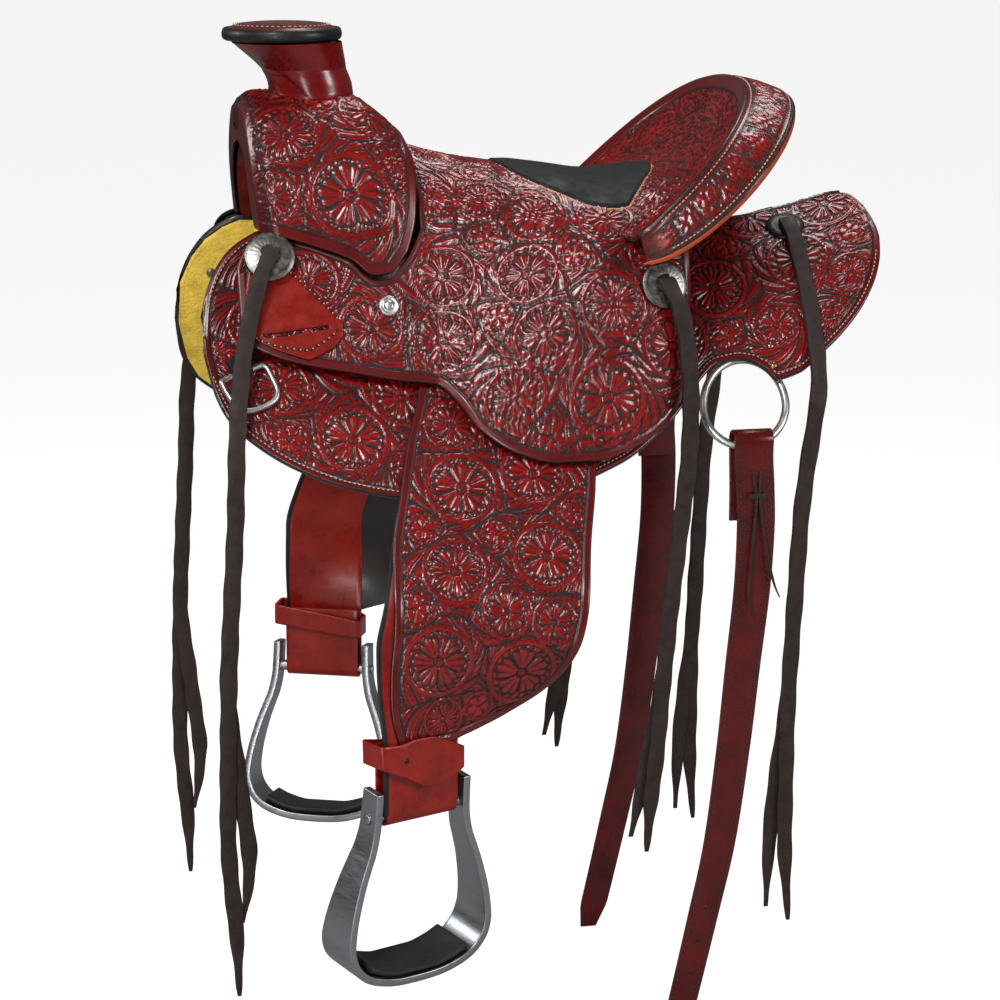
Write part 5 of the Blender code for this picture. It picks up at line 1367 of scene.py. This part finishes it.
for s in BOTH:
    w = WORD[s]
    body = w + "_fender_assembly"
    ob = sheet("hobble_look_" + w, PLAIN, [(hobble_surface, range(len(ring)), np.linspace(0, 1, 9))], .0030, s, out=(0, 0, 0), centred=True)
    finish_piece(ob, body, ["hobble_strap_" + w], .0007)
    # the hole is not cut: a thin black disc stands on the strap as painted shade in the hole
    hole = hobble_surface(np.array([9 + 22.]), np.array([.5]))[0]
    t1 = turned("hobble_hole_painted_shade_" + w, BLACK, [(0, .0002), (.0026, .0001), (.0030, -.0008), (0, -.0008)], mirrored(hole + FACING * .0018, s), mirrored(FACING, s), 16)
    finish_piece(t1, body)

# ---------------------------------------------------------------- looks: stirrups


def smooth_open(points, step):
    """Points step apart on a smooth curve through the 2-D points."""
    P3 = [(p[0], p[1], 0) for p in points]
    return smooth_path(P3, step)[:, :2]


path = smooth_open(STIRRUP_PATH, .0035)


def stirrup_surface(u, v):
    a, z = path[np.clip(np.round(u).astype(int), 0, len(path) - 1)].T
    return stirrup_point(a, curve(STIRRUP_DEPTH, z) * (v - .5), z)


def tread_surface(u, v):
    z = curve(TREAD_LOW, np.abs(u))
    return stirrup_point(u, .047 * (v - .5), z + .0007 * np.abs(np.sin(v * math.pi * 13)))


for s in BOTH:
    w = WORD[s]
    body = w + "_stirrup_assembly"
    ob = sheet("stirrup_look_" + w, ALUMINIUM, [(stirrup_surface, range(len(path)), [0, .06, .5, .94, 1])], STIRRUP_STRIP - .0004, s, out=(0, 0, 0), centred=True)
    finish_piece(ob, body, ["stirrup_" + w], .0011)
    at = mirrored(BOLT_AT, s)
    ax = Vector((ACROSS[0], s * ACROSS[1], 0))
    for k, sg in (("outer", 1), ("inner", -1)):
        t1 = turned("bolt_head_%s_%s" % (k, w), ALUMINIUM, [(0, .0022), (.0034, .0021), (.0052, .0014), (.0056, 0), (0, 0)], at + ax * sg * .0572, ax * sg, 24)
        finish_piece(t1, body)
    ob = sheet("tread_look_" + w, RUBBER, [(tread_surface, np.linspace(-.059, .059, 60), np.linspace(0, 1, 105))], TREAD_THICK - .0012, s, out=(0, 0, 1))
    finish_piece(ob, body, ["stirrup_tread_" + w])
    frame["nodes"]["stirrup_bolt_" + w].data.materials.clear()
    frame["nodes"]["stirrup_bolt_" + w].data.materials.append(STEEL)

# ---------------------------------------------------------------- looks: horn

M = 72
zz = [.1535, .156, .160, .165, .171, .178, .186, .194, .2005, .2048]
rings_ = []
for z in zz:
    c0 = float(curve(HORN_LEAN, z))
    rr_ = float(curve(WRAP_R, z))
    row = []
    for k in range(M + 1):
        a = 2 * math.pi * k / M
        x, y = c0 + rr_ * math.cos(a), rr_ * math.sin(a)
        zl = z
        if z < .166:
            f = (z - .1535) / (.166 - .1535)
            zl = (swell_height(x, y) + .0004) * (1 - f) + max(z, swell_height(x, y) + .0052 + .006 * f) * f
        row.append((x, y, zl))
    rings_.append(row)
P = np.array(rings_)
cen = np.array([-.205, 0, .18])
N = normals_of(P, (0, 0, 0))
if ((P[4, 10] - np.array([float(curve(HORN_LEAN, .171)), 0, .171])) @ N[4, 10]) < 0:
    N = -N
up = scipy_free = None
# finer rows, and the cut seam of the wrap's end
fine_z = np.linspace(0, len(zz) - 1, 64)
P = np.stack([np.stack([np.interp(fine_z, range(len(zz)), P[:, k, j]) for j in range(3)], -1) for k in range(M + 1)], 1)
N = normals_of(P, (0, 0, 0))
if ((P[32, 10] - cen) @ N[32, 10]) < 0:
    N = -N
ang = 2 * math.pi * np.arange(M + 1) / M
A2, Z2 = np.meshgrid(ang, fine_z / (len(zz) - 1), indexing="xy")
seam = (A2 - math.pi) - (.05 + 1.55 * (1 - Z2))
lap = 1 / (1 + np.exp(-seam / .03))
H = .0011 * lap * (A2 < 6.0) * smooth(.15, .5, Z2 + .3)
Kh = 1 - .9 * np.exp(-(seam / .045) ** 2)
relief("horn_wrap_look", WRAP, [dict(P=P, N=N, H=(H - .0002).ravel(), K=1.0, E=(.85 * np.exp(-(seam / .035) ** 2)).ravel(), rim=())], [1], 0, "saddle", ["horn_wrap"])

rc, ac_ = np.linspace(0, .0552, 46), np.linspace(0, 2 * math.pi, 151)
prof = [(0, .0187), (.024, .0187), (.040, .0175), (.050, .0150), (.0552, .0122)]
R2, G2 = np.meshgrid(rc, ac_, indexing="ij")
P = np.stack([HORN_CAP_X + R2 * np.cos(G2), R2 * np.sin(G2), HORN_CAP_Z + curve(prof, R2)], -1)
C = np.stack([(R2 * np.cos(G2)).ravel(), (R2 * np.sin(G2)).ravel()], -1)
D = (.0552 - R2).ravel()
H, Kk = tooling(C, D, [(0, 0, .024, 8, .3, 1), (.034, 0, .010, 5, 0, 1), (-.034, 0, .010, 5, 0, 1), (0, .034, .010, 5, 0, 1), (0, -.034, .010, 5, 0, 1)], .0090, 0)
N = np.zeros_like(P)
N[..., 2] = 1
relief("horn_cap_look", TOOLED, [dict(P=P, N=N, H=H * .8, K=Kk, E=0.0, rim=())], [1], 0, "saddle", ["horn_cap"])
g_ = np.linspace(0, 2 * math.pi, 400)
cap_line = np.stack([HORN_CAP_X + .0492 * np.cos(g_), .0492 * np.sin(g_), HORN_CAP_Z + curve(prof, .0492 + 0 * g_) + .0009], -1)
stitches("horn_thread", [(cap_line, np.repeat([[0, 0, 1.]], 400, 0))], "saddle", length=.0034, gap=.0022)
ob = turned("horn_binding_look", BLACK, [(.0546, .0124), (.0560, .0134), (.0580, .0132), (.0596, .0118), (.0604, .0095), (.0608, .0065), (.0604, .0038), (.0592, .0018), (.0570, .0006), (.0500, .0002)],
            (HORN_CAP_X, 0, HORN_CAP_Z), (0, 0, 1), 96)
finish_piece(ob, "saddle", ["horn_binding"])

# ---------------------------------------------------------------- looks: seat pad, its border and thread

PAD_LOOK = [(-.012, .01), (.0, .20), (.04, .335), (.065, .375), (.10, .37), (.132, .355), (.147, .27), (.166, .16), (.184, .085), (.196, .014)]


def pad_surface(x, s):
    return offset(lambda a, b: seat_top(a, curve(PAD_LOOK, a) * b), -.0016)(x, s)


ps_, ss_ = np.linspace(-.012, .196, 130), np.linspace(0, 1, 90)
P = grid_of(pad_surface, ps_, ss_)
N = normals_of(P, (-.2, .1, 1))
N[:, 0, 1] = 0
D = edge_distance(P, [P[:, -1], P[0], P[-1]])
crown = .0020 * smooth(0, .022, D) + .0018 * smooth(0, .0040, D) - .0012 * smooth(.0012, 0, D)
relief("seat_pad_look", PAD, [dict(P=P, N=N, H=crown + .0004, K=1.0, E=0.0, rim=())], BOTH, 0, "saddle", ["seat_pad"])
for s in BOTH:
    xq = np.linspace(-.009, .1955, 600)
    edge_p, edge_n = surface_line(pad_surface, xq, np.full(600, 1.012), s, .0004, (-.2, .1, 1))
    ob = loop_wire("pad_piping_" + WORD[s], PIPING, [Vector(p) for p in edge_p[::5]], .0027, cyclic=False)
    ob.data.bevel_resolution = 4
    finish_piece(ob, "saddle")
    stitches("pad_edge_thread_" + WORD[s], [(edge_p + edge_n * .0022, edge_n)], "saddle", length=.0030, gap=.0016, radius=.0005)

# ---------------------------------------------------------------- looks: latigo carriers, conchos, rosettes

xs_ = np.linspace(-.284, -.190, 90)
vv_ = np.concatenate([np.linspace(0, .72, 46), np.linspace(.725, .775, 6), np.linspace(.78, 1, 18)])


def carrier_top(x, v):
    return offset(carrier, .0041)(x, v)


P = grid_of(carrier_top, xs_, vv_)
N = normals_of(P)
D = edge_distance(P, outline_of(P, ("u0", "u1", "v0", "v1")))
U, W = np.meshgrid(xs_, vv_, indexing="ij")
# the slot is not cut through: its area is sunk 3 mm and painted near black as painted shade inside the slit
slot_sunk_painted_shade = ((W > .722) & (W < .780) & (U > -.270) & (U < -.204)).ravel()
H = rounded(D, .0014, .001) + np.where(slot_sunk_painted_shade, -.0030, .0002)
E = np.where(slot_sunk_painted_shade, 1.0, smooth(.0010, .0001, D) * .9)
c_out = [p for p in (P[:, -1], P[-1, ::-1], P[::-1, 0], P[0])]
for s in BOTH:
    w = WORD[s]
    relief("latigo_carrier_look_" + w, PLAIN, [dict(P=P, N=N, H=H, K=1.0, E=E)], [s], .0028, "saddle", ["latigo_carrier_" + w])
    f = carrier_top
    xq = np.linspace(-.279, -.1945, 400)
    lowv = 1 - .0062 / np.maximum(.012, np.linalg.norm(carrier_top(xq, np.full(400, 1.)) - carrier_top(xq, np.full(400, .0)), axis=1))
    topv = .0062 / np.maximum(.012, np.linalg.norm(carrier_top(xq, np.full(400, 1.)) - carrier_top(xq, np.full(400, .0)), axis=1))
    stitches("carrier_thread_a_" + w, [surface_line(f, xq, lowv, s, .0006), surface_line(f, xq, topv, s, .0006)], "saddle", length=.0034, gap=.0030, radius=.0010, mat=BLACK, rise=.0008)
    stitches("carrier_thread_b_" + w, [surface_line(f, xq + .0008, lowv, s, .0010), surface_line(f, xq + .0008, topv, s, .0010)], "saddle", length=.0016, gap=.0048, radius=.0007, mat=CREAM, rise=.0010)


def concho(name, place, normal, radius, body, nodes):
    """A low domed silver disc, faintly cut with rays, with three thong knots laid across its face."""
    rr2, gg = np.linspace(0, radius, 26), np.linspace(0, 2 * math.pi, 145)
    R3, G3 = np.meshgrid(rr2, gg, indexing="ij")
    k = R3 / radius
    rim = 1 + 0 * k
    z = .0034 * (1 - k ** 2.4) + .0002 * np.exp(-((k - .86) / .045) ** 2)
    rays = np.abs(np.cos(12 * G3)) * smooth(.42, .52, k) * (1 - smooth(.74, .80, k))
    beads = np.clip(np.cos(24 * G3), 0, 1) * np.exp(-((k - .90) / .035) ** 2)
    z = z + .0001 * rays + .0001 * beads
    ink = np.clip(.22 * (1 - np.abs(np.cos(12 * G3))) ** 3 * smooth(.42, .52, k) * (1 - smooth(.74, .80, k)) + .35 * np.exp(-((k - .80) / .02) ** 2) + .25 * np.exp(-((k - .41) / .02) ** 2), 0, 1)
    F = np.array(frame_of(normal).to_3x3())
    L = np.stack([R3 * rim * np.cos(G3), R3 * rim * np.sin(G3), z], -1)
    P = L @ F.T + np.array(place)
    N = np.repeat(np.repeat(np.array(Vector(normal).normalized())[None, None], P.shape[0], 0), P.shape[1], 1)
    ob = relief(name, SILVER, [dict(P=P, N=N, H=np.zeros(P.shape[0] * P.shape[1]), K=1.0, E=ink.ravel(), rim=("u1",))], [1], .0030, body, nodes)
    for j, deg in enumerate((28, -38, 95)):
        a = math.radians(deg)
        d = F @ np.array([math.cos(a), math.sin(a), 0])
        acr = F @ np.array([-math.sin(a), math.cos(a), 0])
        n = F @ np.array([0, 0, 1])
        line = [Vector(np.array(place) + d * t * radius * .40 + n * (.0046 + .0034 * (1 - t * t) + .0006 * j)) for t in np.linspace(-1, 1, 11)]
        kn = strap(name + "_knot_%d" % j, STRING, line, radius * .26, .0019, across=acr)
        finish_piece(kn, body, (), .0004)
    return ob


for s in BOTH:
    w = WORD[s]
    concho("front_concho_look_" + w, mirrored(FRONT_CONCHO_AT, s), mirrored(FRONT_CONCHO_FACE, s), .0250, "saddle", ["front_concho_" + w])
    concho("seat_concho_look_" + w, mirrored(SEAT_CONCHO_AT, s), mirrored(SEAT_CONCHO_FACE, s), .0238, "saddle", ["seat_concho_" + w])
    place, normal = drape_spot(.299, .036, SKIRT_THICK + .0012)
    ob = turned("rosette_look_" + w, BLACK, [(0, .0034), (.006, .0034), (.008, .0028), (.013, .0030), (.018, .0022), (.0205, .0008), (.0205, 0), (0, 0)], mirrored(place, s), mirrored(normal, s), 40)
    finish_piece(ob, "saddle", ["rear_rosette_" + w])
    for t in (.175, .197):
        p, n = drape_spot(.254, t, SKIRT_THICK + .0014)
        ob = turned("rivet_%d_%s" % (round(t * 1000), w), COPPER, [(0, .0016), (.0022, .0014), (.0034, .0007), (.0036, 0), (0, 0)], mirrored(p, s), mirrored(n, s), 20)
        finish_piece(ob, "saddle")
    p, n = drape_spot(-.143, .845, .0009) if False else seat_spot(-.143, .845, .0016)
    ob = turned("screw_look_" + w, STEEL, [(0, .0052), (.0030, .0052), (.0046, .0046), (.0052, .0030), (.0060, .0026), (.0072, .0026), (.0080, .0034), (.0094, .0032), (.0104, .0016), (.0105, 0), (0, 0)], mirrored(p, s), mirrored(n, s), 40)
    finish_piece(ob, "saddle", ["seat_screw_" + w])
    inner = skirt_at(np.array([-.292]), np.array([.090]), -.0100)[0]
    inner_n = skirt_at(np.array([-.292]), np.array([.090]), -.02)[0] - inner
    ob = turned("lining_rivet_" + w, SILVER, [(0, .0016), (.0030, .0014), (.0046, .0007), (.0050, 0), (0, 0)], mirrored(inner, s), mirrored(inner_n, s), 20)
    finish_piece(ob, "saddle")

# ---------------------------------------------------------------- looks: rings, dees, billets, thongs

for s in BOTH:
    w = WORD[s]
    pts = []
    for k in range(96):
        g = 2 * math.pi * k / 96
        d = math.sin(g) * (REAR_RING_R if math.sin(g) > 0 else REAR_RING_TOP)
        pts.append(mirrored(REAR_C + REAR_E1 * REAR_RING_R * math.cos(g) + REAR_E2 * d, s))
    ob = loop_wire("rear_ring_look_" + w, STEEL, pts, RING_WIRE)
    ob.data.bevel_resolution = 6
    finish_piece(ob, "saddle", ["rear_rigging_ring_" + w])
    c, e1, e2 = skirt_plane(-.05, .318, -.0060)
    pts = [mirrored(c + e1 * .035 * math.cos(2 * math.pi * k / 72) + e2 * .035 * math.sin(2 * math.pi * k / 72), s) for k in range(72)]
    ob = loop_wire("front_ring_look_" + w, STEEL, pts, .0035)
    ob.data.bevel_resolution = 6
    finish_piece(ob, "saddle", ["front_rigging_ring_" + w])
    c, e1, e2 = skirt_plane(*DEE_AT, DEE_OFF)
    ca, sa = math.cos(DEE_TURN), math.sin(DEE_TURN)
    al, aw = e1 * ca - e2 * sa, e1 * sa + e2 * ca
    outline = [(-.0200, 0), (-.010, 0), (0, 0), (.010, 0), (.0200, 0), (.0235, .0012), (.0250, .0045), (.0245, .016), (.0232, .028),
               (.0195, .0345), (.013, .0385), (0, .0400), (-.013, .0390), (-.0200, .0350), (-.0240, .028), (-.0252, .016), (-.0250, .0045), (-.0235, .0012)]
    o3 = smooth_path([(a, d, 0) for a, d in outline + outline[:1]], .0022)[:-1]
    ob = loop_wire("breast_dee_look_" + w, STEEL, [mirrored(c + al * p[0] + aw * p[1], s) for p in o3], .0030)
    ob.data.bevel_resolution = 6
    finish_piece(ob, w + "_breast_dee_body", ["breast_dee_" + w])
    frame["nodes"]["dee_tab_" + w].data.materials.clear()
    frame["nodes"]["dee_tab_" + w].data.materials.append(BLACK)

    # flank billet: the same route, finer, with stitched edges, thin black discs for its holes as painted shade, and a
    # lace
    f = RING_FOOT
    R = .0100
    outer = [(f[0], f[1] + R, f[2] + .0055), (f[0], f[1] + R - .001, f[2] - .012), (f[0] + .003, f[1] + .0062, f[2] - .045), (f[0] + .005, f[1] + .0040, f[2] - .085),
             (f[0] + .003, f[1] + .0010, f[2] - .15), (f[0] - .005, f[1], f[2] - .23), (f[0] - .014, f[1], f[2] - .32), (f[0] - .027, f[1], f[2] - .42),
             (f[0] - .044, f[1], f[2] - .50), (f[0] - .062, f[1], f[2] - .58), (f[0] - .075, f[1], f[2] - BILLET_DROP)]
    inner = [(f[0] - .0005, f[1] - .0042, f[2] - .078), (f[0], f[1] - .0060, f[2] - .045), (f[0], f[1] - R + .0015, f[2] - .012)]
    fold = [(f[0], f[1] - R * math.cos(g), f[2] + .0055 + R * math.sin(g)) for g in np.linspace(0, math.pi, 17)]
    fine_outer = smooth_path(outer, .008)
    path3 = [Vector(p) for p in smooth_path(inner, .008)] + [Vector(p) for p in fold] + [Vector(p) for p in fine_outer[1:]]
    body = w + "_flank_billet_body"
    width = lambda q: .041 - .010 * max(0, q - .2) / .8 - .013 * max(0, q - .965) / .035
    ob = strap("flank_billet_look_" + w, BRIDLE, path3, width, BILLET_THICK, side=s)
    finish_piece(ob, body, ["flank_billet_" + w], .0007)
    run = np.concatenate([[0], np.cumsum(np.linalg.norm(np.diff(np.array(path3), axis=0), axis=1))])
    out0 = len(path3) - len(fine_outer) + 1
    keep = np.array(path3)[out0:]
    wd = np.array([width(run[out0 + i] / run[-1]) for i in range(len(keep))])
    m = np.array([1, s, 1.])
    dense = np.linspace(0, len(keep) - 1.001, 1200)
    Kp = np.stack([np.interp(dense, range(len(keep)), keep[:, j]) for j in range(3)], -1)
    Wd = np.interp(dense, range(len(keep)), wd)
    nn = np.repeat(np.array([[0, s, 0.]]), len(Kp), 0)
    lines_c, lines_d = [], []
    for sg in (-1, 1):
        a = Kp + np.stack([sg * (Wd / 2 - .0042), np.full(len(Kp), BILLET_THICK / 2 + .0001), 0 * Wd], -1)
        part = slice(0, 1180)
        lines_d.append((a[part] * m, nn[part]))
        b = Kp + np.stack([sg * (Wd / 2 - .0072), np.full(len(Kp), BILLET_THICK / 2 + .0001), 0 * Wd], -1)
        lines_c.append((b[:330] * m, nn[:330]))
    stitches("billet_thread_" + w, lines_d, body, length=.0040, gap=.0026, radius=.0006, mat=DARKTHREAD)
    stitches("billet_stamp_" + w, lines_c, body, length=.0022, gap=.0040, radius=.0011, mat=DARKTHREAD)
    # the holes are not cut: thin black discs stand on the billet as painted shade in the holes
    for k, zoff in enumerate((-.4905, -.5255, -.5600)):
        zt = f[2] + zoff
        i = np.abs(Kp[:, 2] - zt).argmin()
        t1 = turned("billet_hole_%d_%s" % (k, w), BLACK, [(0, .0003), (.0022, .0002), (.0026, -.0006), (0, -.0006)], mirrored(Kp[i] + np.array([0, BILLET_THICK / 2, 0]), s), (0, s, 0), 14)
        finish_piece(t1, body)
    # lace through the billet, below the ring, with two loose tails
    lift = BILLET_THICK / 2 + .0016
    i = np.abs(Kp[:, 2] - (f[2] - .046)).argmin()
    base = Kp[i] + np.array([0, lift, 0])
    for k, pts in enumerate((
            [(-.0040, .022), (-.0022, .008), (.0002, -.004), (-.0008, -.030), (-.004, -.070), (-.006, -.105), (-.003, -.130)],
            [(.0046, .022), (.0036, .006), (.0040, -.006), (.008, -.040), (.014, -.072), (.021, -.098), (.027, -.112)])):
        l3 = smooth_path([(base[0] + a, base[1] + .0006 * k, base[2] + b) for a, b in pts], .004)
        ob = strap("billet_lace_%d_%s" % (k, w), STRING, [Vector(p) for p in l3], lambda q: .0032 - .0018 * max(0, q - .8) / .2, .0018, side=s)
        finish_piece(ob, body, (), .0004)
    ob = strap("billet_lace_bar_" + w, STRING, [Vector(base + np.array([a, .0016, -.0045 + .0004 * a])) for a in np.linspace(-.009, .010, 8)], .0052, .0018, across=(0, 0, 1), side=s)
    finish_piece(ob, body, (), .0004)

for s in BOTH:
    for nm, spec in (("front", FRONT_STRING), ("seat", SEAT_STRING), ("back", BACK_STRING)):
        A = np.array(spec["a"])
        down_a = smooth_path(A, .009)
        shared = A[:spec["split"]].copy()
        steep = np.clip(-shared[:, 2] / .10, 0, 1) * .4 + .6
        shared[:, 1] -= STRING_GAP * steep
        shared[:, 2] -= STRING_GAP * np.sqrt(1 - steep ** 2)
        B = np.vstack([shared, np.array(spec["b"])[1:]])
        down_b = smooth_path(B, .009)
        joined = [Vector(p) for p in down_a[::-1]] + [Vector(p) for p in down_b]
        lie = .216 if nm == "back" else 0
        slant = [Vector((1, 0, lie * max(0, min(1, (p[2] + .16) / .06)))).normalized() for p in joined]
        wv = 1.7 + len(nm)
        ob = strap(nm + "_thong_look_" + WORD[s], STRING, joined,
                   lambda q: (.0165 + .0010 * math.sin(q * 31 * wv)) - .0125 * (max(0, (.05 - q) / .05) + max(0, (q - .95) / .05)), STRING_THICK - .0002, across=slant, side=s)
        finish_piece(ob, "saddle", [nm + "_strings_" + WORD[s]], .0005)

# ---------------------------------------------------------------- looks: CAD nodes that stay

for nm, mt in (("tree_fork", BRIDLE), ("tree_cantle", WOODM), ("horn_post", BRIDLE), ("tree_bar_near", BRIDLE), ("tree_bar_off", BRIDLE), ("gullet_lining", BRIDLE), ("ground_seat", BRIDLE),
               ("cantle_back", TOOLED), ("skirt_lining_near", LINING), ("skirt_lining_off", LINING)):
    d = frame["nodes"][nm].data
    d.materials.clear()
    d.materials.append(mt)

# ---------------------------------------------------------------- floor, light, camera

floor_mat, ft, fs = new_mat("floor")
fs.inputs["Base Color"].default_value = (.38, .38, .38, 1)
fs.inputs["Roughness"].default_value = .9
fs.inputs["Emission Color"].default_value = (1, 1, 1, 1)
# the backdrop's own light is for the eye only, so that the leather doesn't mirror it
glow = node(ft, "ShaderNodeMath", operation="MULTIPLY")
ft.links.new(node(ft, "ShaderNodeLightPath").outputs["Is Camera Ray"], glow.inputs[0])
glow.inputs[1].default_value = .86
ft.links.new(glow.outputs[0], fs.inputs["Emission Strength"])
bpy.ops.mesh.primitive_plane_add(size=60, location=(0, 0, -.8375))
fl = bpy.context.object
fl.name = "floor"
fl.data.materials.append(floor_mat)

world = bpy.data.worlds.new("studio") if bpy.context.scene.world is None else bpy.context.scene.world
bpy.context.scene.world = world
world.use_nodes = True
world.node_tree.nodes["Background"].inputs[0].default_value = (1, 1, 1, 1)
wt = world.node_tree
sky = node(wt, "ShaderNodeMath", operation="MULTIPLY_ADD")
wt.links.new(node(wt, "ShaderNodeLightPath").outputs["Is Camera Ray"], sky.inputs[0])
sky.inputs[1].default_value, sky.inputs[2].default_value = .84, .12
wt.links.new(sky.outputs[0], wt.nodes["Background"].inputs[1])


def area(name, at, target, size, power, sy=None):
    d = bpy.data.lights.new(name, "AREA")
    d.energy, d.size = power, size
    if sy:
        d.shape, d.size_y = "RECTANGLE", sy
    o = bpy.data.objects.new(name, d)
    bpy.context.scene.collection.objects.link(o)
    o.location = at
    o.rotation_euler = (Vector(target) - Vector(at)).to_track_quat("-Z", "Y").to_euler()
    return o


area("key", (-1.5, -2.3, 1.9), (0, 0, -.2), .70, 62)
area("fill", (2.3, -2.1, .7), (0, 0, -.3), .8, 40)
area("top", (.5, .6, 2.4), (0, 0, -.1), 1.0, 34)
area("strip", (-1.3, -2.7, -.25), (0, 0, -.3), .30, 22, 1.4)
area("rim", (-2.4, .6, .9), (0, 0, -.1), .6, 18)

cam = bpy.data.cameras.new("camera")
cam.lens, cam.sensor_width = 108, 36
cam.clip_end = 200
co = bpy.data.objects.new("camera", cam)
bpy.context.scene.collection.objects.link(co)
ea, eb = math.radians(13.0), math.radians(12.2)
tgt = Vector((0, 0, -.28))
co.location = tgt + Vector((-math.sin(ea) * math.cos(eb), -math.cos(ea) * math.cos(eb), math.sin(eb))) * 3.18
co.rotation_euler = (tgt - co.location).to_track_quat("-Z", "Y").to_euler()
bpy.context.scene.camera = co
bpy.context.scene.view_settings.view_transform = "Standard"
